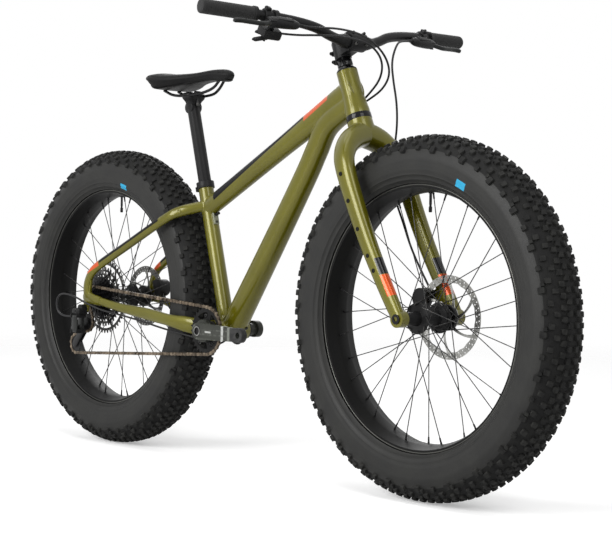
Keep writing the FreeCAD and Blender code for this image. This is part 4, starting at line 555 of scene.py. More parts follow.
frontHose = [(329, 173.5, 999.9), (337, 132, 997), (354, 98, 984), (359, 78, 944), (362, 82, 900), (362, 94, 854),
             (353, 106, 806), (341, 112, 762), (339, 108, 716), (352, 95, 672), (377, 83, 630), (404, 78.5, 586),
             (429, 74, 540), (458, 72.5, 494), (492, 71, 449)]


def routeCurve(name, route, radius=0.0):
    curve = bpy.data.curves.new(name, "CURVE")
    curve.dimensions = "3D"
    curve.resolution_u = 10
    line = curve.splines.new("NURBS")
    line.points.add(len(route) - 1)
    for knot, spot in zip(line.points, route):
        knot.co = (*place(*spot), 1.0)
    line.order_u = 3
    line.use_endpoint_u = True
    curve.bevel_depth = radius * mm
    curve.bevel_resolution = 4
    curve.use_fill_caps = radius > 0
    return addObject(name, curve)


def linePoints(route):  # points read from the route's own spline
    obj = routeCurve("route_line", route)
    mesh = evaluated(obj)
    points = [v.co.copy() for v in mesh.vertices]
    curve = obj.data
    bpy.data.objects.remove(obj)
    bpy.data.curves.remove(curve)
    bpy.data.meshes.remove(mesh)
    return points


def fixedHose(name, route, body, node):
    obj = routeCurve(name, route, hoseSet["radius"])
    obj.data.materials.append(hoseJacket)
    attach(obj, body)
    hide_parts(node)


def steeringHose(name, route, node):  # a tube along a run that leaves the handlebar
    points = linePoints(route)
    bm = bmesh.new()
    tubeAlong(bm, points, hoseSet["radius"] * mm, hoseSet["sides"])
    bmesh.ops.recalc_face_normals(bm, faces=bm.faces[:])
    mesh = toMesh(name, bm)
    mesh.shade_smooth()
    mesh.materials.append(hoseJacket)
    obj = addObject(name, mesh)
    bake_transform(obj)
    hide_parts(node)


steeringHose("rear_hose_front_run", rearHoseFront, "rear_brake_hose")
steeringHose("shift_housing_front_run", shiftFront, "shift_housing")
fixedHose("front_hose", frontHose, "fork", "front_brake_hose")
fixedHose("rear_hose_stay_run", rearHoseRear, "frame", "rear_brake_hose")
fixedHose("shift_housing_stay_run", shiftRear, "frame", "shift_housing")
print("hoses laid")

# welded frame: main tubes and stays in one smooth form; rows are x, y, z, half width, half height
bracketAt = (-105.35, 0, 322)
frameSet = {
    "seatUp": (-0.26724, 0, 0.96363), "seatLong": 368, "seatRadius": 18.5, "shellRadius": 25, "shellHalf": 50,
    "topTube": [(-187.1, 0, 616.9, 19, 23), (64, 0, 746.4, 20, 24), (190, 0, 811.4, 20, 27), (330, 0, 883.7, 20, 30)],
    "downTube": [(330, 0, 850, 22, 25), (242, 0, 803, 23, 26.5), (204, 0, 747, 23.5, 26.5), (168, 0, 690, 24, 26.5),
                 (60, 0, 534, 26, 27), (-88.3, 0, 324, 30, 28)],
    "headTube": [(13.3, 27.5), (22, 27.5), (30, 26.6), (52, 24), (60, 23.5), (118, 23.5)],  # station, radius
    "chainstay": [(-111.35, 35, 322, 9, 19), (-151.35, 49, 327, 9, 19), (-191.35, 64, 333, 9, 19),
                  (-241.35, 75, 340, 9, 14.5), (-330.35, 79, 351, 9, 14.5), (-440.35, 91, 364, 7, 10.5),
                  (-526, 102, 379, 6, 10)],
    "stayRoot": (312, 10, 9, 13),  # station on the seat tube, y, half width, half height
    "seatstay": [(-232, 53, 608, 9, 13), (-272, 73, 588, 8, 11.5), (-411, 88, 519.5, 8.2, 11),
                 (-505, 98.5, 473, 7, 11.3), (-541, 102.6, 450, 7.2, 11.4), (-559, 104, 422, 7.4, 11),
                 (-562, 103.8, 399, 6.8, 11.6), (-559, 103.2, 382, 5.4, 13)],
    "stayEnd": [(-505, 100, 375, 6.5, 11.5), (-536, 103, 380, 5.6, 13), (-560, 103.2, 386, 5.2, 15)],
    "axleBoss": (98.4, [(0, 16.6), (7, 16.6), (9.6, 13.5)])}
steerUp = Vector((-0.36650, 0, 0.93042))
steerAhead = Vector((0.93042, 0, 0.36650))
seatUp = Vector(frameSet["seatUp"])
crown = place(*crownAt)
bracket = place(*bracketAt)


def steerAt(aheadBy, y, station):
    return crown + steerAhead * (aheadBy * mm) + leftWay * (y * mm) + steerUp * (station * mm)


def steerRow(aheadBy, y, station, wide, tall):
    return [*(steerAt(aheadBy, y, station) / mm), wide, tall]


def seatAt(station):
    return bracket + seatUp * (station * mm)


def sided(rows, side):
    return [(x, y * side, z, wide, tall) for x, y, z, wide, tall in rows]


def buildFrame():
    bm = bmesh.new()
    ovalSweep(bm, frameSet["topTube"], leftWay)
    ovalSweep(bm, frameSet["downTube"], leftWay, square=2.3)
    turnOn(bm, crown, steerUp, frameSet["headTube"], 64)
    tall, r = frameSet["seatLong"], frameSet["seatRadius"]
    turnOn(bm, bracket, seatUp, [(0, r), (tall - 8, r), (tall, r)])
    half, r = frameSet["shellHalf"], frameSet["shellRadius"]
    turnOn(bm, bracket, leftWay, [(-half, r - 0.4), (-half + 1, r), (half - 1, r), (half, r - 0.4)])
    station, y, wide, tall = frameSet["stayRoot"]
    root = seatAt(station) / mm
    bossOut, bossProfile = frameSet["axleBoss"]
    for side in (1, -1):
        ovalSweep(bm, sided(frameSet["chainstay"], side), leftWay, square=2.4)
        ovalSweep(bm, sided([(root.x, y, root.z, wide, tall)] + frameSet["seatstay"], side), leftWay, square=2.3)
        ovalSweep(bm, sided(frameSet["stayEnd"], side), leftWay, square=2.3)
        turnOn(bm, place(rearAxle, bossOut * side, axleUp), leftWay * side, bossProfile, 40)
    newPiece("welded_frame", overlaid(bm), [framePaint], "frame",
             ["head_tube", "top_tube", "down_tube", "seat_tube", "bottom_bracket_shell",
              "chainstays", "seatstays"], 60)


buildFrame()

# fork: crown and both legs, with rows of depth below the crown
forkSet = {
    "neck": [(-56, 14), (-44, 24), (-24, 28.4), (-6, 28), (9, 27.6)], "middle": (0, 0, -31, 27.5, 27),
    "shoulder": ((1.6, 40, 47, 26.5, 25), (3.0, 71, 76, 25, 20)),  # ahead, y, depth, half depth, half width
    "leg": ((87, 118, 23, 16.6), (88, 200, 21, 15.4), (88, 290, 19.4, 14.5), (88, 370, 18, 13), (88, 430, 17, 11.6),
            (88, 468, 15.5, 10.5)),
    "legBow": 10.0, "bowFrom": 95, "bowLong": 373, "aheadTop": (112, 7), "aheadFoot": (472.57, 48),
    "eye": (75.5, [(0, 17.6), (20, 17.6)]), "tabDepth": 420, "tabOut": 83.6, "tabTurn": 152, "tabReach": 90,
    "bosses": ((132, -1), (194, -2.5), (260, -2), (323, -1.5), (358, -2)), "bossRadius": 4.7,  # depth, ahead
    "wallTop": (112, 16.5), "wallFoot": (462.6, 11), "wallDeep": 22, "wallSquare": 2.5, "bossOut": 88,
    "bossTurn": 0.02}


def onLine(at, top, foot):
    return top[1] + (foot[1] - top[1]) * (at - top[0]) / (foot[0] - top[0])


def legAhead(depth):  # the legs bow back a little between crown and axle
    bow = forkSet["legBow"] * math.sin(math.pi * max(0.0, depth - forkSet["bowFrom"]) / forkSet["bowLong"])
    return onLine(depth, forkSet["aheadTop"], forkSet["aheadFoot"]) - bow


def buildFork():
    bm = bmesh.new()
    turnOn(bm, crown, steerUp, forkSet["neck"], 56)
    rows = [*forkSet["shoulder"]] + [(legAhead(row[1]), *row) for row in forkSet["leg"]]
    eyeOut, eyeProfile = forkSet["eye"]
    for side in (1, -1):
        leg = [steerRow(aheadBy, y * side, -depth, deep, wide) for aheadBy, y, depth, deep, wide in rows]
        ovalSweep(bm, [steerRow(*forkSet["middle"])] + leg, steerAhead, square=2.5)
        turnOn(bm, place(frontAxle, eyeOut * side, axleUp), leftWay * side, eyeProfile, 40)
    tabStart = steerAt(legAhead(forkSet["tabDepth"]), forkSet["tabOut"], -forkSet["tabDepth"])
    tabEnd = wheelSpot(frontAxle, math.radians(forkSet["tabTurn"]), forkSet["tabReach"], forkSet["tabOut"])
    way = (tabEnd - tabStart).normalized()
    tabHalf = (tabEnd - tabStart).length / mm / 2
    roundBlock(bm, (tabStart + tabEnd) / 2, (way, leftWay, way.cross(leftWay)), (tabHalf + 6, 5, 13), 2)
    newPiece("fork_body", overlaid(bm), [forkPaint], "fork", ["fork_crown", "fork_legs"], 60)

    bm = bmesh.new()
    square = forkSet["wallSquare"]
    for depth, back in forkSet["bosses"]:
        thin = (1 - (abs(back) / forkSet["wallDeep"]) ** square) ** (1 / square)
        half = onLine(depth, forkSet["wallTop"], forkSet["wallFoot"]) * thin
        outward = (leftWay + steerAhead * (back * forkSet["bossTurn"])).normalized()
        spot = steerAt(legAhead(depth) + back, forkSet["bossOut"], -depth)
        ringOn(bm, spot, outward, half - 3, half + 2.1, 2.5, forkSet["bossRadius"], 24)
        # black core just below each black ring's rim: painted shade of the threaded hole
        turnOn(bm, spot, outward, [(half - 4, 3.0), (half + 1.6, 3.0), (half + 1.4, 1.2)], 18)
    bothSides(bm)
    newPiece("fork_mount_inserts_and_bore_shade", bm, [rimBlack], "fork")

    bm = bmesh.new()
    ringOn(bm, crown, steerUp, -1.5, 9.2, 20.2, 28.4, 64, 0, 1.6)
    ringOn(bm, crown, steerUp, 3.4, 4.2, 27.0, 28.7, 64, 0, 0.2)
    newPiece("crown_race_ring", bm, [glossBlack], "fork")


buildFork()
print("frame and fork built")

# tires: casing, ribs and knobs
tireSet = {"center": 323.0, "tall": 56.0, "wide": 58.0, "round": 0.84, "wall": 3.2, "around": 208, "units": 52,
           "outer": (34, 134.5), "inner": (12, 131.0), "ridges": ((21.0, 0.7), (26.0, 0.7), (28.0, 1.3), (31.0, 1.5)),
           "ridgeWide": 0.45, "knob": 5.6, "sink": 1.4, "twist": 0.12, "edgeTurn": 0.2, "treadFrom": 351.0}
knobRows = [  # across angle, turns in a unit, long, wide, height share
    (7, (0.12, 0.62), 11.5, 10.0, 1.0), (20, (0.37, 0.87), 11.0, 10.5, 0.98), (35, (0.1,), 10.0, 11.0, 0.95),
    (47, (0.58,), 11.0, 11.5, 0.95)]
edgeRows = [  # for even and for odd units: across angle, turn in a unit, long, wide, height share
    ((62, 0.0, 10.0, 10.0, 0.9),), ((64, 0.0, 12.0, 14.0, 1.0), (60, 0.26, 7.0, 8.0, 0.9))]
knobCorners = ((1, 0.8), (0.8, 1), (-0.8, 1), (-1, 0.8), (-1, -0.8), (-0.8, -1), (0.8, -1), (1, -0.8))
labelTurns = {"front": (64.0, 298, 314), "rear": (73.5, 292, 305)}  # turn, inner and outer radius
labelHalf, labelSides = 13, (20, 90)  # along the tire, out from its middle


def tireSpot(across, lift):  # radius and side offset in mm, across counted from the crown
    c, s = math.cos(across), math.sin(across)
    r = tireSet["tall"] * math.copysign(abs(c) ** tireSet["round"], c)
    y = tireSet["wide"] * math.copysign(abs(s) ** tireSet["round"], s)
    away = Vector((r / tireSet["tall"] ** 2, y / tireSet["wide"] ** 2)).normalized()
    return tireSet["center"] + r + away.x * lift, y + away.y * lift, away


def tireProfile():
    count, reach = tireSet["outer"]
    outer = []
    for k in range(-count, count + 1):
        ridge = sum(tall * math.exp(-((abs(k) - peak) / tireSet["ridgeWide"]) ** 2)
                    for peak, tall in tireSet["ridges"])
        outer.append(tireSpot(math.radians(k * reach / count), ridge)[:2])
    count, reach = tireSet["inner"]
    inner = [tireSpot(math.radians(k * reach / count), -tireSet["wall"])[:2] for k in range(-count, count + 1)]
    return outer + inner[::-1]


def hoop(bm, axle, profile, count, tone=0):  # profile: radius, y
    rings = []
    for k in range(count):
        turn = 2 * math.pi * k / count
        rings.append([wheelSpot(axle, turn, r, y) for r, y in profile])
    skinRings(bm, rings, False, tone, True)


def addKnob(bm, axle, turn, across, longWay, wideWay, tall, twist):
    r, y, away = tireSpot(across, 0)
    spot = wheelSpot(axle, turn, r, y)
    out = Vector((away.x * math.cos(turn), away.y, away.x * math.sin(turn)))
    along = Vector((-math.sin(turn), 0, math.cos(turn)))
    side = out.cross(along)
    a = along * math.cos(twist) + side * math.sin(twist)
    b = out.cross(a)
    rings = []
    for lift, spread in ((-tireSet["sink"], 1.12), (tall * 0.88, 0.99), (tall, 0.92)):
        a0, b0 = a * (spread * longWay * mm / 2), b * (spread * wideWay * mm / 2)
        rings.append([spot + out * (lift * mm) + a0 * u + b0 * v for u, v in knobCorners])
    skinRings(bm, rings, True, 1)


def tireFinish(key, axle):
    degrees, labelIn, labelOut = labelTurns[key]
    turn = math.radians(degrees)
    out = (math.cos(turn), 0, math.sin(turn))
    along = (-math.sin(turn), 0, math.cos(turn))
    hub = (axle, 0, axleUp)
    patch = [(hub, out, labelIn, labelOut), (hub, along, -labelHalf, labelHalf),
             ((0, 0, 0), (0, -1, 0), *labelSides)]
    return makeFinish(key + "_tread_rubber", dict(
        base=(29, 29, 27), shade=(23, 23, 22), grain=1100.0, blotch=22.0, rough=(0.44, 0.62), bump=0.3, relief=0.0004,
        wearTone=(52, 52, 50), wear=(0.52, 0.62), bands=[{"tone": (40, 150, 190), "places": [patch]}]))


def buildTire(key, axle, body):
    bm = bmesh.new()
    hoop(bm, axle, tireProfile(), tireSet["around"])
    for face in bm.faces:  # painted shade: the casing under and between the knobs takes the darker knob rubber
        spot = face.calc_center_median()
        if math.hypot(spot.x / mm - axle, spot.z / mm - axleUp) > tireSet["treadFrom"]:
            face.material_index = 1
    step = 2 * math.pi / tireSet["units"]
    for unit in range(tireSet["units"]):
        for side, shift in ((1, 0.0), (-1, 0.5)):
            for across, turns, longWay, wideWay, share in knobRows:
                for t in turns:
                    addKnob(bm, axle, (unit + t + shift) * step, side * math.radians(across), longWay, wideWay,
                            tireSet["knob"] * share, side * tireSet["twist"])
            for across, t, longWay, wideWay, share in edgeRows[unit % 2]:
                addKnob(bm, axle, (unit + tireSet["edgeTurn"] + shift) * step + t * step,
                        side * math.radians(across), longWay, wideWay, tireSet["knob"] * share, 0)
    newPiece(key + "_tire_tread", bm, [tireFinish(key, axle), knobRubberGrooveShade], body, [key + "_tire"], 40)


# rims, valves, spokes, rotors
rimSet = {"around": 144, "lip": (278.6, 1.1, 40.5, 0.9), "foot": 264,  # lip: radius, half, y, half
          "profile": [(283, 40), (283, 38.5), (282, 36.8), (279, 36.5), (271, 16), (271, -16), (279, -36.5),
                      (282, -36.8), (283, -38.5), (283, -40), (280, -40.6), (273, -40), (265.5, -16), (264, -12),
                      (264, 12), (265.5, 16), (273, 40), (280, 40.6)],
          "valve": [(0, 4.6), (-2.5, 4.6), (-3, 3.0), (-26, 3.0), (-26.5, 2.6), (-30, 2.6), (-30.5, 3.7), (-41, 3.7),
                    (-42.4, 2.4)]}
spokeSet = {"perSide": 16, "cross": 3, "radius": 1.2, "circle": 28.5, "rimReach": 263.7, "rimOut": 8.0, "reach": 3.05,
            "butts": (12, 20), "slim": 0.88,
            "nipple": [(0.2, 2.3), (3, 2.4), (3.4, 2.0), (13, 1.9), (14, 1.3)],
            "head": [(-0.9, 1.2), (0.6, 1.7), (1.1, 1.0)]}
rotorSet = {"thick": 1.9, "track": 15.0, "cells": 40, "hole": 2.1, "arms": 6, "lean": 32.0, "armWide": 8.0, "hub": 24,
            "ring": (17.1, 27.5), "boltCircle": 22, "rowAt": (0.27, 0.73), "rowShift": 0.25, "wave": 0.9}


def buildRim(key, axle, body):
    bm = bmesh.new()
    hoop(bm, axle, rimSet["profile"], rimSet["around"])
    r, tall, y, wide = rimSet["lip"]
    for side in (1, -1):  # lighter metal bead on each lip: a painted highlight along the rim's edge
        turns = [math.pi * i / 4 for i in range(8)]
        bead = [(r + tall * math.cos(t), side * (y + wide * math.sin(t))) for t in turns]
        hoop(bm, axle, bead, rimSet["around"], 1)
    newPiece(key + "_rim_hoop", bm, [rimBlack, lipHighlightMetal], body, [key + "_rim"], 24)
    bm = bmesh.new()
    turnOn(bm, place(axle, 0, axleUp + rimSet["foot"]), upWay, rimSet["valve"], 24)
    newPiece(key + "_valve", bm, [glossBlack], body)


def buildSpokes(key, axle, body, flanges):
    bm = bmesh.new()
    step = 2 * math.pi / spokeSet["perSide"]
    size = spokeSet["radius"] * mm
    for flange, side, phase in ((flanges[1], 1, 0), (flanges[0], -1, step / 2)):
        for i in range(spokeSet["perSide"]):
            lead = 1 if i % 2 else -1
            rimTurn = math.pi / 2 + phase + i * step
            hubTurn = rimTurn + lead * spokeSet["cross"] * step
            out = flange + side * lead * (spokeSet["reach"] + (spokeSet["radius"] if lead > 0 else 0))
            start = wheelSpot(axle, hubTurn, spokeSet["circle"], out)
            end = wheelSpot(axle, rimTurn, spokeSet["rimReach"], side * spokeSet["rimOut"])
            way = (end - start).normalized()
            near, far = (way * (butt * mm) for butt in spokeSet["butts"])
            slim = size * spokeSet["slim"]
            tubeAlong(bm, [start, start + near, start + far, end - far, end], [size, size, slim, slim, size], 8)
            turnOn(bm, end, -way, spokeSet["nipple"], 10, 1)
            turnOn(bm, start, leftWay * (-side * lead), spokeSet["head"], 10)
    newPiece(key + "_spoke_set", bm, [blackSteel, satinBlack], body, [key + "_spokes"], 40)


def leanArm(bm, axle, root, ends, lean, curl, widths, count, low, high):  # a flat arm that leans round the axle
    left, right = [], []
    for i in range(count + 1):
        share = i / count
        r = ends[0] + (ends[1] - ends[0]) * share
        t = root + math.radians(lean) * share ** curl
        half = widths[0] / 2 * (widths[1] - widths[2] * math.sin(math.pi * share)) / r
        left.append((r * math.cos(t - half), r * math.sin(t - half)))
        right.append((r * math.cos(t + half), r * math.sin(t + half)))
    outline = left + right[::-1]
    skinRings(bm, [[place(axle + x, y, axleUp + z) for x, z in outline] for y in (low + 0.05, high - 0.05)])


def buildRotor(key, axle, body, radius, offset):
    bm = bmesh.new()
    low, high = offset - rotorSet["thick"] / 2, offset + rotorSet["thick"] / 2
    inner = radius - rotorSet["track"]
    cells = rotorSet["cells"]
    corners = ((-1, -1), (0, -1), (1, -1), (1, 0), (1, 1), (0, 1), (-1, 1), (-1, 0))
    span = 2 * math.pi / cells

    def quad(*spots):
        bm.faces.new([bm.verts.new(place(axle + x, y, axleUp + z)) for (x, z), y in spots])

    for row, rimSide in ((0, -1), (1, 1)):  # two rows of holed cells
        for k in range(cells):
            turn = (k + 0.5 + rotorSet["rowShift"] * row) * span
            middle = inner + rotorSet["track"] * rotorSet["rowAt"][row]
            edge, hole = [], []
            for u, v in corners:
                t = turn + u * span / 2
                rim = inner + rotorSet["wave"] * math.cos(t * cells / 2) if row == 0 else radius
                r = {rimSide: rim, 0: middle, -rimSide: inner + rotorSet["track"] / 2}[v]
                edge.append((r * math.cos(t), r * math.sin(t)))
                h = math.atan2(v, u)
                hr = middle + rotorSet["hole"] * math.sin(h)
                ht = turn + rotorSet["hole"] * math.cos(h) / middle
                hole.append((hr * math.cos(ht), hr * math.sin(ht)))
            for i in range(8):
                n = (i + 1) % 8
                for y in (low, high):
                    quad((edge[i], y), (edge[n], y), (hole[n], y), (hole[i], y))
                quad((hole[i], low), (hole[n], low), (hole[n], high), (hole[i], high))
                if corners[i][1] == corners[n][1] == rimSide:
                    quad((edge[i], low), (edge[n], low), (edge[n], high), (edge[i], high))
    bmesh.ops.remove_doubles(bm, verts=bm.verts[:], dist=1e-6)
    for k in range(rotorSet["arms"]):
        leanArm(bm, axle, 2 * math.pi * k / rotorSet["arms"], (rotorSet["hub"], inner + 2), rotorSet["lean"], 0.8,
                (rotorSet["armWide"], 1.15, 0.5), 8, low, high)
    ringOn(bm, place(axle, 0, axleUp), leftWay, low, high, *rotorSet["ring"], 48, 0, 0.2)
    for k in range(6):
        t = 2 * math.pi * (k + 0.5) / 6
        socketBolt(bm, wheelSpot(axle, t, rotorSet["boltCircle"], high), leftWay, 3.4, 2.4, 1, 0.5)
    # the rear rotor takes the darker copy of the steel as painted shade
    steel = brightSteel if key == "front" else rearRotorShadedSteel
    newPiece(key + "_rotor_disc", bm, [steel, blackSteel], body, [key + "_rotor"], 30)


wheelRows = [  # name, axle, flanges, rotor radius and offset
    ("front", frontAxle, (-33, 33), 90, 63), ("rear", rearAxle, (-30, 38), 80, 82.9)]
for key, axle, flanges, rotorRadius, rotorOut in wheelRows:
    wheel = key + "_wheel"
    buildTire(key, axle, wheel)
    buildRim(key, axle, wheel)
    buildSpokes(key, axle, wheel, flanges)
    buildRotor(key, axle, wheel, rotorRadius, rotorOut)
print("wheels built")

# chain: rollers, pins and waisted plates on the CAD chain's own pins
chainSet = {"roller": 3.8, "pin": 1.75, "plate": 0.7, "innerGap": 1.05, "outerGap": 1.85, "eye": 4.1, "waist": 2.7,
            "pinLeast": 1.6}


def chainPins():
    bm = bmesh.new()
    bm.from_mesh(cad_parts["chain"].data)
    bmesh.ops.remove_doubles(bm, verts=bm.verts[:], dist=1e-6)
    seen, pins = set(), []
    for first in bm.verts:
        if first in seen:
            continue
        stack, island = [first], []
        seen.add(first)
        while stack:
            v = stack.pop()
            island.append(v.co.copy())
            for e in v.link_edges:
                other = e.other_vert(v)
                if other not in seen:
                    seen.add(other)
                    stack.append(other)
        if max(c.y for c in island) - min(c.y for c in island) > chainSet["pinLeast"] * mm:
            pins.append(sum(island, Vector()) / len(island))
    bm.free()
    ordered = [pins.pop(0)]
    while pins:
        nearest = min(range(len(pins)), key=lambda i: (pins[i] - ordered[-1]).length)
        ordered.append(pins.pop(nearest))
    return ordered


def chainPlate(bm, a, b, y0, y1):
    along = (b - a).normalized()
    up = along.cross(leftWay)
    outline = []
    for center, way in ((b, 1), (a, -1)):
        for k in range(9):
            turn = math.radians(-100 + 25 * k)
            outline.append(center + (along * math.cos(turn) + up * math.sin(turn)) * (way * chainSet["eye"] * mm))
        outline.append((a + b) / 2 + up * (way * chainSet["waist"] * mm))
    skinRings(bm, [[p + leftWay * (y * mm) for p in outline] for y in (y0, y1)])


def buildChain():
    bm = bmesh.new()
    pins = chainPins()
    print("chain pins", len(pins))
    roller, pinRadius = chainSet["roller"], chainSet["pin"]
    for i, pin in enumerate(pins):
        after = pins[(i + 1) % len(pins)]
        gap = chainSet["innerGap"] if i % 2 else chainSet["outerGap"]
        for way in (1, -1):
            chainPlate(bm, pin, after, way * gap, way * (gap + chainSet["plate"]))
        turnOn(bm, pin, leftWay, [(-1.0, roller - 0.3), (-0.7, roller), (0.7, roller), (1.0, roller - 0.3)], 14)
        turnOn(bm, pin, leftWay, [(-2.8, 1.3), (-2.5, pinRadius), (2.5, pinRadius), (2.8, 1.3)], 10)
    newPiece("drive_chain", bm, [chainSteel], "frame", ["chain"], 35)


buildChain()
print("chain built")

# cockpit: bar, grips, brake levers and their bodies; stations run in from the bar's end
barSet = {"middle": (321.67, 0, 981.76), "bend": [(0, 0, 0), (0, 58, 0), (-9, 128, 31), (-51, 390, 41)],
          "radius": 11.1, "bulge": 15.9, "bulgeHalf": 30, "taper": 26}
gripSet = {"radius": 15.5, "groove": 15.05, "ribs": 22, "ribFrom": 4, "ribStep": 5.3, "ring": (123, 132, 11.15, 17),
           "end": [(-2.5, 8), (-2.5, 13), (-1.6, 14.6), (0, 15.4)],
           "inner": [(121, 15.5), (122.8, 15.3), (122.8, 11.2)]}
leverSet = {  # rows: station, forth, half width, half height
    "body": ((146, 29, 7, 6), (150, 29, 11.5, 9.5), (165, 29, 13.5, 11), (190, 28.5, 13, 10.6), (212, 28, 11, 9.4),
             (221, 27.4, 8, 7.4), (224, 27, 5, 5)),
    "blade": ((160, 34.5, 4.2, 4.4), (152, 35.5, 5.2, 4.8), (141, 40, 4.8, 4.8), (126, 46.5, 4.6, 4.8),
              (104, 46.8, 4.2, 4.9), (80, 46.2, 4.4, 4.9), (66, 47.6, 4.8, 4.9), (58, 50, 4.4, 4.6),
              (55, 51.5, 2.4, 3.4)),
    "clamp": (149, 163, 11.15, 15.1), "holes": (96, 84, 72),
    "blocks": (  # spot, halves, softening, finish; the last is the reservoir lid
        ((156, 0, 16.5), (6.5, 6, 3.5), 1.6, 0), ((156, 18, 0), (7, 9, 5.5), 2.0, 0),
        ((156, 32, 7.0), (6.6, 9.5, 1.5), 1.2, 0), ((156, 32, -7.0), (6.6, 9.5, 1.5), 1.2, 0),
        ((186, 28.5, 9.9), (20, 8, 1.8), 1.4, 2)),
    "bolts": (  # spot, up or down, radius, height
        ((152, 0, 19.5), 1, 2.8, 2.4), ((156, 35, 8.2), 1, 3.0, 1.4), ((156, 35, -8.2), -1, 3.0, 1.4),
        ((172, 28.5, 11.4), 1, 1.8, 0.8), ((204, 28.5, 11.4), 1, 1.8, 0.8)),
    "hoseEnd": [(0, 4.4), (5, 4.4), (5.5, 3.7), (12, 3.4), (22, 2.7), (22.5, 2.45)]}
podSet = {"spot": (183, 2, -37), "halves": (20, 14.5, 11), "soft": 6.0}
barEnd = place(270.71, 390, 1022.76)
barIn = Vector((0.15817, -0.98669, -0.03766))
barReach = Vector((0.83363, 0.15388, -0.53045))
barUp = Vector((0.52919, 0.05251, 0.84688))
barWays = (barIn, barReach, barUp)


def barAt(station, forth, up):
    return barEnd + barIn * (station * mm) + barReach * (forth * mm) + barUp * (up * mm)


def barRows(rows):
    return [[*(barAt(s, forth, 0) / mm), wide, tall] for s, forth, wide, tall in rows]


def buildBar():
    half = [place(*[m + s for m, s in zip(barSet["middle"], step)]) for step in barSet["bend"]]
    points = cutCorners(otherSide(half[:0:-1]) + half, 4)
    radii = []
    for p in points:
        out = max(0.0, min(1.0, (abs(p.y) / mm - barSet["bulgeHalf"]) / barSet["taper"]))
        share = out * out * (3 - 2 * out)
        radii.append((barSet["bulge"] + (barSet["radius"] - barSet["bulge"]) * share) * mm)
    bm = bmesh.new()
    tubeAlong(bm, points, radii, 32)
    newPiece("bar_tube", bm, [satinBlack], "fork", ["handlebar"], 50)


def buildGrips():
    bm = bmesh.new()
    full, groove = gripSet["radius"], gripSet["groove"]
    profile = gripSet["end"][:]
    for k in range(gripSet["ribs"]):
        start = gripSet["ribFrom"] + k * gripSet["ribStep"]
        profile += [(start, full), (start + 0.5, groove), (start + 1.5, groove), (start + 2.0, full)]
    turnOn(bm, barEnd, barIn, profile + gripSet["inner"], 40)
    ringOn(bm, barEnd, barIn, *gripSet["ring"], 40, 1, 1.0)
    socketBolt(bm, barAt(127.5, 9, -13.6), barUp * -0.8 + barReach * 0.6, 2.8, 3.0, 1)
    bothSides(bm)
    newPiece("grip_pair", bm, [gripRubber, satinBlack], "fork", ["grips"], 30)


def buildLeverBodies():
    bm = bmesh.new()
    ringOn(bm, barEnd, barIn, *leverSet["clamp"], 40, 0, 1.2)
    ovalSweep(bm, barRows(leverSet["body"]), barReach, 5, 28, 2.6)
    for spot, halves, soft, tone in leverSet["blocks"]:
        roundBlock(bm, barAt(*spot), barWays, halves, soft, tone)
    for spot, way, radius, tall in leverSet["bolts"]:
        socketBolt(bm, barAt(*spot), barUp * way, radius, tall, 1)
    turnOn(bm, barAt(222, 27, 0), barIn, leverSet["hoseEnd"], 20, 2)
    bothSides(bm)
    newPiece("lever_body_pair", bm, [satinBlack, blackSteel, moulded], "fork", ["lever_bodies"], 34)


def buildLever(name):
    bm = bmesh.new()
    ovalSweep(bm, barRows(leverSet["blade"]), barReach, 5, 24, 3.0)
    for s in leverSet["holes"]:  # finger grip holes
        ringOn(bm, barAt(s, 46.4, 0), barUp, -5.1, 5.1, 1.4, 2.2, 16, 1, 0.3)
    if name == "right":
        bm = mirror(bm)
    newPiece(name + "_brake_blade", bm, [darkAlloy, satinBlack], name + "_lever",
             ["brake_lever_" + name], 40)


def buildPod():  # rounded cover of the shifter
    bm = bmesh.new()
    roundBlock(bm, barAt(*podSet["spot"]), barWays, podSet["halves"], podSet["soft"])
    newPiece("shifter_pod", mirror(bm), [moulded], "fork")


buildBar()
buildGrips()
buildLeverBodies()
buildLever("left")
buildLever("right")
buildPod()

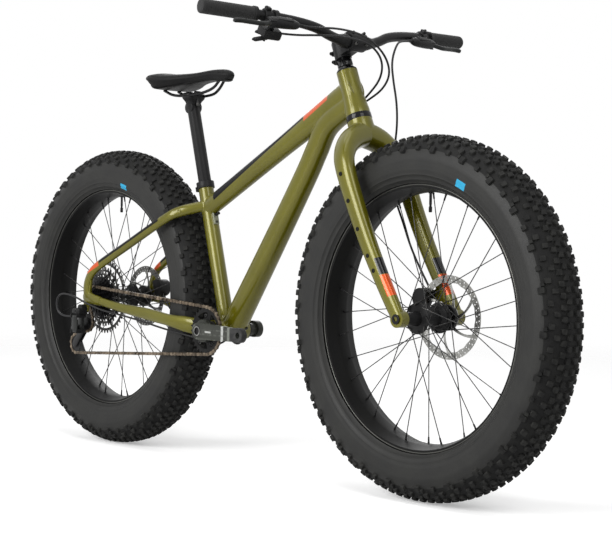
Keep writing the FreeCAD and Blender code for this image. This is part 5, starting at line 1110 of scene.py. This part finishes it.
# eased copies of the turned and milled solids
crankBands = [
    {"tone": (176, 178, 174), "places": [[(bracketAt, (1, 0, 0), 104, 114)],
                                         [(bracketAt, (1, 0, 0), 34, 60), (bracketAt, (0, 0, 1), -2, 2)]]},
    {"tone": (112, 115, 108), "places": [[(bracketAt, (1, 0, 0), 131, 141)]]}]
crankFinish = makeFinish("crank_charcoal", dict(
    base=(46, 48, 41), shade=(38, 40, 35), grain=1200.0, stretch=(1, 5, 5), rough=(0.36, 0.54), bump=0.08, metal=0.25,
    wearTone=(84, 86, 80), wear=(0.56, 0.74), bands=crankBands))
easedRows = [  # node, body, finish, slot, softening, steps
    ("stem", "fork", satinBlack, "black_alloy", 1.6, 3),
    ("steerer_tube", "fork", glossBlack, "black_alloy", 0.5, 2),
    ("shifter_body", "fork", moulded, "black_plastic", 2.2, 3),
    ("upshift_lever", "upshift_paddle", moulded, "black_plastic", 1.2, 2),
    ("downshift_lever", "downshift_paddle", moulded, "black_plastic", 1.2, 2),
    ("headset_cups", "frame", glossBlack, "black_alloy", 0.5, 2),
    ("seat_collar", "frame", satinBlack, "black_alloy", 1.0, 2),
    ("dropouts", "frame", plainPaint, "frame_paint", 1.4, 3),
    ("rear_axle", "frame", blackSteel, "black_alloy", 0.5, 2),
    ("front_axle", "fork", blackSteel, "black_alloy", 0.5, 2),
    ("rear_caliper", "frame", satinBlack, "black_alloy", 1.8, 3),
    ("front_caliper", "fork", satinBlack, "black_alloy", 1.8, 3),
    ("front_hub", "front_wheel", satinBlack, "black_alloy", 0.5, 2),
    ("rear_hub", "rear_wheel", satinBlack, "black_alloy", 0.5, 2),
    ("seatpost", "post", satinBlack, "black_alloy", 0.8, 2),
    ("bottom_bracket_cups", "frame", blackSteel, "black_alloy", 0.5, 2),
    ("derailleur_knuckle", "frame", satinBlack, "dark_alloy", 0.9, 2),
    ("derailleur_outer_link", "outer_link", darkAlloy, "dark_alloy", 0.5, 2),
    ("derailleur_inner_link", "inner_link", darkAlloy, "dark_alloy", 0.5, 2),
    ("derailleur_lower_knuckle", "lower_knuckle", satinBlack, "dark_alloy", 0.7, 2),
    ("derailleur_cage", "cage", blackSteel, "dark_alloy", 0.3, 2),
    ("crank_arm_right", "crankset", crankFinish, "dark_alloy", 2.4, 3),
    ("crank_arm_left", "crankset", crankFinish, "dark_alloy", 2.4, 3)]
for node, body, finish, slotName, soft, steps in easedRows:
    newPiece(node + "_eased", softened(node, soft, steps), [finish], body, [node], 34)

keptFinish = {"chainring": rimBlack, "guide_pulley": moulded, "tension_pulley": moulded,
              "front_pad_left": liningGrit, "front_pad_right": liningGrit, "rear_pad_left": liningGrit,
              "rear_pad_right": liningGrit}
for node, finish in keptFinish.items():
    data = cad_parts[node].data
    data.materials.clear()
    data.materials.append(finish)
print("milled pieces eased")

# cassette: the three large cogs are open rings on arms, the others keep the CAD form
cogSet = {"rows": ((46, -49.0, 4.91, 96.25, 83.0), (37, -52.9, 6.92, 78.08, 65.5), (32, -56.8, 11.03, 67.98, 56.5)),
          "half": 0.8, "depth": 7.1, "arms": 9, "armWide": 6.5, "lean": 15.0, "hub": 40.0, "bore": 18.0,
          "keepOut": -58.8, "keepIn": 30.0}  # rows: teeth, y, phase, tip radius, inner radius


def buildCassette():
    bm = bmesh.new()
    bm.from_mesh(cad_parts["cassette"].data)
    old = [v for v in bm.verts if v.co.y > cogSet["keepOut"] * mm
           and math.hypot(v.co.x - rearAxle * mm, v.co.z - axleUp * mm) > cogSet["keepIn"] * mm]
    bmesh.ops.delete(bm, geom=old, context="VERTS")
    for row, (teeth, y, phase, tip, inner) in enumerate(cogSet["rows"]):
        low, high, foot = y - cogSet["half"], y + cogSet["half"], tip - cogSet["depth"]
        rings = []
        for tooth in range(teeth):
            for share, r in ((-0.3, foot), (-0.09, tip), (0.09, tip), (0.3, foot)):
                turn = math.radians(phase + (tooth + share) * 360 / teeth)
                rings.append([wheelSpot(rearAxle, turn, far, out)
                              for far, out in ((inner, low), (r, low), (r, high), (inner, high))])
        skinRings(bm, rings, False, 0, True)
        ringOn(bm, place(rearAxle, 0, axleUp), leftWay, low, high, cogSet["bore"], cogSet["hub"], 48, 0, 0.2)
        for k in range(cogSet["arms"]):
            leanArm(bm, rearAxle, 2 * math.pi * (k + 0.33 * row) / cogSet["arms"], (cogSet["hub"] - 2, inner + 1),
                    cogSet["lean"], 1, (cogSet["armWide"], 1.3, 0.6), 6, low, high)
    newPiece("cassette_cogs", bm, [blackSteel], "cassette_body", ["cassette"], 30)


buildCassette()

# derailleur housing over the upper pins
housingSet = {"center": (-575, -116.5, 347.0), "halves": (15.5, 15.5, 8.2), "soft": 5.0, "bolt": (-570, -131.6, 348),
              "boltRadius": 4.4}


def buildHousing():
    bm = bmesh.new()
    roundBlock(bm, place(*housingSet["center"]), (aheadWay, leftWay, upWay), housingSet["halves"], housingSet["soft"])
    socketBolt(bm, place(*housingSet["bolt"]), -leftWay, housingSet["boltRadius"], 2.0, 1)
    newPiece("derailleur_housing", bm, [satinBlack, blackSteel], "frame")


buildHousing()
print("gears built")

# saddle: crowned cushion with drawn-in sides, a centre channel and a stitched edge
saddleSet = {"nose": -104.6, "long": 275.0, "halfWide": 71.0, "floor": 916.9, "rows": (  # share, width, top, bottom
    (0.0, 0.08, 24, 19), (0.02, 0.16, 30, 14.5), (0.05, 0.22, 34, 11.5), (0.1, 0.26, 37, 10), (0.24, 0.3, 38.5, 14),
    (0.46, 0.45, 34.5, 11), (0.68, 0.84, 34.5, 3), (0.86, 1.0, 40, 0), (0.93, 0.98, 40, 6), (0.98, 0.86, 39.5, 16),
    (1.0, 0.66, 37, 24)), "channel": 2.6, "channelWide": 9.0, "channelFrom": 0.12, "channelLong": 0.8, "seamDip": 0.8,
    "seamTurn": 0.42, "seamWide": 0.05, "waist": 0.42}
stitchSet = {"span": (0.15, 0.75), "start": 0.05, "end": 0.95, "step": 4, "lift": 0.8, "arch": 0.3, "thread": 0.45}
railSet = {"radius": 3.5, "points": ((-348.6, 22, 913.5), (-304.6, 22, 896), (-208.6, 22, 896), (-166, 9.5, 908),
                                     (-146, 7.4, 927))}
clampSet = {"x": -256.6, "lower": ((868, 13, 15.5), (880, 15, 19), (889, 19, 27), (895.2, 20, 29)),
            "upper": ((896.8, 20, 29), (900, 19, 28.5), (903.3, 14, 26)), "boltOut": 16.5,
            "boltFoot": 872, "headFoot": 876, "nutOut": -9, "nutUp": 903, "bolt": [(0, 3.0), (33, 3.0)],
            "nut": [(0, 4.2), (1, 4.8), (17, 4.8), (18, 4.2)]}


def saddleSection(share, width, top, bottom, count=56):
    x = saddleSet["nose"] - share * saddleSet["long"]
    wide, tall, waist = saddleSet["halfWide"] * width, top - bottom, saddleSet["waist"]
    along = min(1.0, max(0.0, (share - saddleSet["channelFrom"]) / saddleSet["channelLong"]))
    ring = []
    for k in range(count):
        turn = 2 * math.pi * k / count
        c, s = math.cos(turn), math.sin(turn)
        y = wide * math.copysign(abs(c) ** 0.72, c)
        if s < 0:  # drawn-in underside
            y *= 1 - 0.16 * abs(s) ** 0.5
            z = waist * tall * (1 + max(-1.0, 1.6 * s))
        else:
            z = waist * tall + (1 - waist) * tall * s ** 0.9
            z -= math.exp(-(y / saddleSet["channelWide"]) ** 2) * saddleSet["channel"] * math.sin(math.pi * along)
        seam = sum(math.exp(-((t - saddleSet["seamTurn"]) / saddleSet["seamWide"]) ** 2)
                   for t in (turn, math.pi - turn))
        sunk = seam * saddleSet["seamDip"]
        ring.append(place(x, y * (1 - sunk / max(wide, 8)), saddleSet["floor"] + bottom + z - sunk))
    return ring


def buildSaddle():
    rows = between([list(row) for row in saddleSet["rows"]], 7)
    bm = bmesh.new()
    skinRings(bm, [saddleSection(*row) for row in rows])
    cushion = newPiece("saddle_cushion", bm, [coverFinish], "seat", ["saddle"], 70)

    bm = bmesh.new()
    count = len(rows) * 3 - 6
    for way in (1, -1):  # stitches along the seam
        for i in range(count):
            a, b = (rows[0][0] + (i + f) / count for f in stitchSet["span"])
            if not stitchSet["start"] < a < stitchSet["end"]:
                continue
            ends = []
            for share in (a, b):
                row = min(rows, key=lambda r: abs(r[0] - share))
                ring = saddleSection(share, *row[1:])
                step = stitchSet["step"] if way > 0 else len(ring) // 2 - stitchSet["step"]
                ends.append(ring[step] + upWay * (stitchSet["lift"] * mm))
            if (ends[1] - ends[0]).length > 1e-5:
                middle = (ends[0] + ends[1]) / 2 + upWay * (stitchSet["arch"] * mm)
                tubeAlong(bm, [ends[0], middle, ends[1]], stitchSet["thread"] * mm, 6)
    newPiece("saddle_stitches", bm, [moulded], "seat")

    bm = bmesh.new()
    shell = [(saddleSet["nose"] - share * saddleSet["long"], 0, saddleSet["floor"] + bottom - 0.4,
              saddleSet["halfWide"] * width * 0.78, 2.6) for share, width, top, bottom in rows if 0.04 < share < 0.96]
    ovalSweep(bm, shell, leftWay, 1, 36, 3.0)
    line = cutCorners([place(*p) for p in railSet["points"]], 3)
    for rail in (line, otherSide(line)):
        tubeAlong(bm, rail, railSet["radius"] * mm, 16, 1)
    newPiece("saddle_shell", bm, [rimBlack, blackSteel], "seat", ["saddle_base"], 40)


def buildClamp():
    bm = bmesh.new()
    x = clampSet["x"]
    for part in ("lower", "upper"):
        ovalSweep(bm, [(x, 0, z, wide, tall) for z, wide, tall in clampSet[part]], aheadWay, 5, 40, 3.2)
    for boltX in (x + clampSet["boltOut"], x - clampSet["boltOut"]):
        turnOn(bm, place(boltX, 0, clampSet["boltFoot"]), upWay, clampSet["bolt"], 18, 1)
        socketBolt(bm, place(boltX, 0, clampSet["headFoot"]), -upWay, 4.3, 5, 1)
        turnOn(bm, place(boltX, clampSet["nutOut"], clampSet["nutUp"]), leftWay, clampSet["nut"], 20, 1)
    newPiece("saddle_clamp", bm, [satinBlack, blackSteel], "cradle", ["seat_clamp"], 34)


buildSaddle()
buildClamp()
print("saddle built")

# small fittings
stemSet = {"barCenter": (45, 170), "faceOut": 16.77, "faceY": 16, "faceUp": 13.5, "pinch": (152, 173), "capAt": 194.6,
           "lug": -20.5, "lugHalves": (6, 9.5, 5.6), "lugSoft": 3.2, "pinchAt": -21.5, "pinchOut": 9}
mountSet = {"tabStation": 277, "tabOut": 19.5, "plug": [(0, 5), (1.5, 5), (2, 3.6), (15, 3.4), (16, 2.6)],
            "stayBoss": (-232, 53, 608), "stayOut": (0.47, 0.88, 0.0)}
grommetRows = (((238, 6, 792), (30, 18, 34)), ((254, 8, 798), (32, 22, 36)), ((-62, 16, 318), (20, -8, 26)),
               ((-66, -16, 322), (18, 8, 28)))  # spot, direction
crankSet = {"boltCircle": 36.5, "boltOut": 69.2, "capOut": 95, "arm": 175, "bootSides": 40, "bootBore": 7.6,
            "cap": [(-1, 13.5), (0.9, 13.5), (1.5, 12.8), (1.5, 7.2), (-0.5, 6.8)],
            "boot": ((98.8, 0), (114.4, 0), (115.4, 15.4), (114.2, 16.9), (100.2, 16.9),  # depth, spread
                     (98.8, 15.6))}


def buildStemBolts():
    bm = bmesh.new()
    ahead, station = stemSet["barCenter"]
    for y in (-stemSet["faceY"], stemSet["faceY"]):
        for s in (-stemSet["faceUp"], stemSet["faceUp"]):
            socketBolt(bm, steerAt(ahead + stemSet["faceOut"], y, station + s), steerAhead, 3.4, 4.5)
    for s in stemSet["pinch"]:  # pinch bolts behind the steerer
        roundBlock(bm, steerAt(stemSet["lug"], 0, s), (steerAhead, leftWay, steerUp), stemSet["lugHalves"],
                   stemSet["lugSoft"])
        for way in (1, -1):
            socketBolt(bm, steerAt(stemSet["pinchAt"], stemSet["pinchOut"] * way, s), leftWay * way, 4.2, 5.0)
    socketBolt(bm, steerAt(0, 0, stemSet["capAt"]), steerUp, 4.2, 1.6)
    newPiece("stem_bolts", bm, [blackSteel], "fork")


def buildFrameFittings():
    seatAhead = Vector((seatUp.z, 0, -seatUp.x))
    tab = seatAt(mountSet["tabStation"])
    bm = bmesh.new()
    roundBlock(bm, tab + seatAhead * (mountSet["tabOut"] * mm), (seatAhead, leftWay, seatUp), (2.4, 8, 17), 1.6)
    socketBolt(bm, tab + seatAhead * 0.0212 - seatUp * 0.011, seatAhead, 3.2, 1.8, 1)
    turnOn(bm, tab + seatAhead * 0.02 + seatUp * 0.007, seatAhead, mountSet["plug"], 20, 1)
    newPiece("seat_tube_mount", bm, [dullTab, satinBlack], "frame")

    bm = bmesh.new()
    spot, outward = place(*mountSet["stayBoss"]), Vector(mountSet["stayOut"]).normalized()
    ringOn(bm, spot, outward, 6, 10.6, 2.4, 5.2, 24, 0, 0.8)
    turnOn(bm, spot, outward, [(5, 2.5), (8.8, 2.5)], 18, 1)
    bothSides(bm)
    newPiece("stay_mount_inserts", bm, [plainPaint, rimBlack], "frame")

    bm = bmesh.new()
    collar = seatAt(frameSet["seatLong"])
    socketBolt(bm, collar - seatAhead * 0.028 + leftWay * 0.007 - seatUp * 0.004, leftWay, 3.4, 3.0)
    newPiece("collar_bolt", bm, [blackSteel], "frame")

    bm = bmesh.new()
    for spot, way in grommetRows:
        ringOn(bm, place(*spot), Vector(way), 12, 17, 2.5, 5.2, 24, 0, 1.2)
    newPiece("hose_grommets", bm, [gripRubber], "frame")


def buildCrankFittings():
    x, z = bracketAt[0], bracketAt[2]
    bm = bmesh.new()
    for k in range(5):  # chainring bolts
        t = math.radians(90 + 72 * k)
        r = crankSet["boltCircle"]
        spot = place(x + r * math.cos(t), -crankSet["boltOut"], z + r * math.sin(t))
        socketBolt(bm, spot, -leftWay, 4.2, 1.6, 0, 0.6)
    for side in (1, -1):  # spindle caps
        cap = place(x, crankSet["capOut"] * side, z)
        turnOn(bm, cap, leftWay * side, crankSet["cap"], 36)
        ringOn(bm, cap, leftWay * side, 1.0, 1.8, 9.4, 11.2, 36, 1, 0.2)
    newPiece("crank_bolts", bm, [blackSteel, brightSteel], "crankset")

    bm = bmesh.new()
    loops = []
    for depth, spread in crankSet["boot"]:
        ring = []
        for k in range(crankSet["bootSides"]):
            turn = 2 * math.pi * (k + 0.5) / crankSet["bootSides"]
            c, s = math.cos(turn), math.sin(turn)
            far = (spread or crankSet["bootBore"]) * c
            if spread and c <= 0:  # long towards the arm, round at the tip
                far = -(24 + spread * 0.2) * abs(c) ** 0.35
            ring.append(place(x + crankSet["arm"] + far, -depth, z + (spread or crankSet["bootBore"]) * s))
        loops.append(ring)
    skinRings(bm, loops, False, 0, True)
    other = bm.copy()
    for v in other.verts:  # half a turn about the spindle for the left arm
        v.co.x = 2 * x * mm - v.co.x
        v.co.y = -v.co.y
    pour(bm, other)
    newPiece("crank_boots", bm, [gripRubber], "crankset")


buildStemBolts()
buildFrameFittings()
buildCrankFittings()
print("fittings built")

# studio: pale floor, white surround, soft lamps
studioSet = {"surround": 0.33, "floorTone": (0.9, 0.9, 0.9, 1), "floorGlow": 0.36, "floorRadius": 7.0,
             "floorDown": 0.0005, "fadeStart": 1.5, "fadeEnd": 5.0}
white = (1, 1, 1, 1)
lampRows = [  # name, place, aim, width, height, watts
    ("key", (-0.1, -3.4, 1.9), (0, 0, 0.55), 2.0, 2.2, 122), ("top", (-0.2, -0.4, 3.6), (0, 0, 0.4), 2.2, 2.2, 30),
    ("front", (3.3, -0.8, 2.4), (0.3, 0, 0.5), 1.6, 2.0, 40), ("back", (-2.6, 2.6, 2.4), (0, 0, 0.5), 1.6, 1.6, 26)]


def buildSurround():
    world = bpy.data.worlds.new("studio")
    bpy.context.scene.world = world
    world.use_nodes = True
    tree = world.node_tree
    tree.nodes.clear()
    light = put(tree, "ShaderNodeBackground", {"Color": white, "Strength": studioSet["surround"]})
    seen = put(tree, "ShaderNodeBackground", {"Color": white, "Strength": 1.0})
    path = put(tree, "ShaderNodeLightPath").outputs
    shown = sums(tree, "MAXIMUM", path["Is Camera Ray"],
                 sums(tree, "MAXIMUM", path["Is Glossy Ray"], path["Is Transmission Ray"]))
    mix = put(tree, "ShaderNodeMixShader", {0: shown, 1: light.outputs[0], 2: seen.outputs[0]})
    put(tree, "ShaderNodeOutputWorld", {0: mix.outputs[0]})


def buildFloor():
    bm = bmesh.new()
    bmesh.ops.create_circle(bm, cap_ends=True, radius=studioSet["floorRadius"], segments=64)
    mesh = toMesh("floor", bm)
    floor = addObject("floor", mesh)
    floor.location.z = -studioSet["floorDown"]
    material = bpy.data.materials.new("pale_floor")
    material.use_nodes = True
    tree = material.node_tree
    tree.nodes.clear()
    pale = put(tree, "ShaderNodeBsdfDiffuse", {"Color": studioSet["floorTone"]})
    path = put(tree, "ShaderNodeLightPath").outputs
    strength = sums(tree, "MULTIPLY", path["Is Camera Ray"], studioSet["floorGlow"])
    glow = put(tree, "ShaderNodeEmission", {"Color": white, "Strength": strength})
    both = put(tree, "ShaderNodeAddShader", {0: pale.outputs[0], 1: glow.outputs[0]})
    far = put(tree, "ShaderNodeVectorMath", {0: ownSpot(tree)}, operation="LENGTH").outputs["Value"]
    fade = ramp(tree, far, studioSet["fadeStart"], studioSet["fadeEnd"])
    clear = put(tree, "ShaderNodeBsdfTransparent")
    mix = put(tree, "ShaderNodeMixShader", {0: fade, 1: both.outputs[0], 2: clear.outputs[0]})
    put(tree, "ShaderNodeOutputMaterial", {0: mix.outputs[0]})
    mesh.materials.append(material)


def buildLamps():
    for name, spot, aim, width, height, watts in lampRows:
        lamp = bpy.data.lights.new(name + "_lamp", "AREA")
        lamp.shape = "RECTANGLE"
        lamp.size = width
        lamp.size_y = height
        lamp.energy = watts
        obj = addObject(name + "_lamp", lamp)
        obj.location = spot
        obj.rotation_euler = (Vector(aim) - Vector(spot)).to_track_quat("-Z", "Y").to_euler()


buildSurround()
buildFloor()
buildLamps()
bpy.context.scene.view_settings.view_transform = "Standard"
print("studio lit")
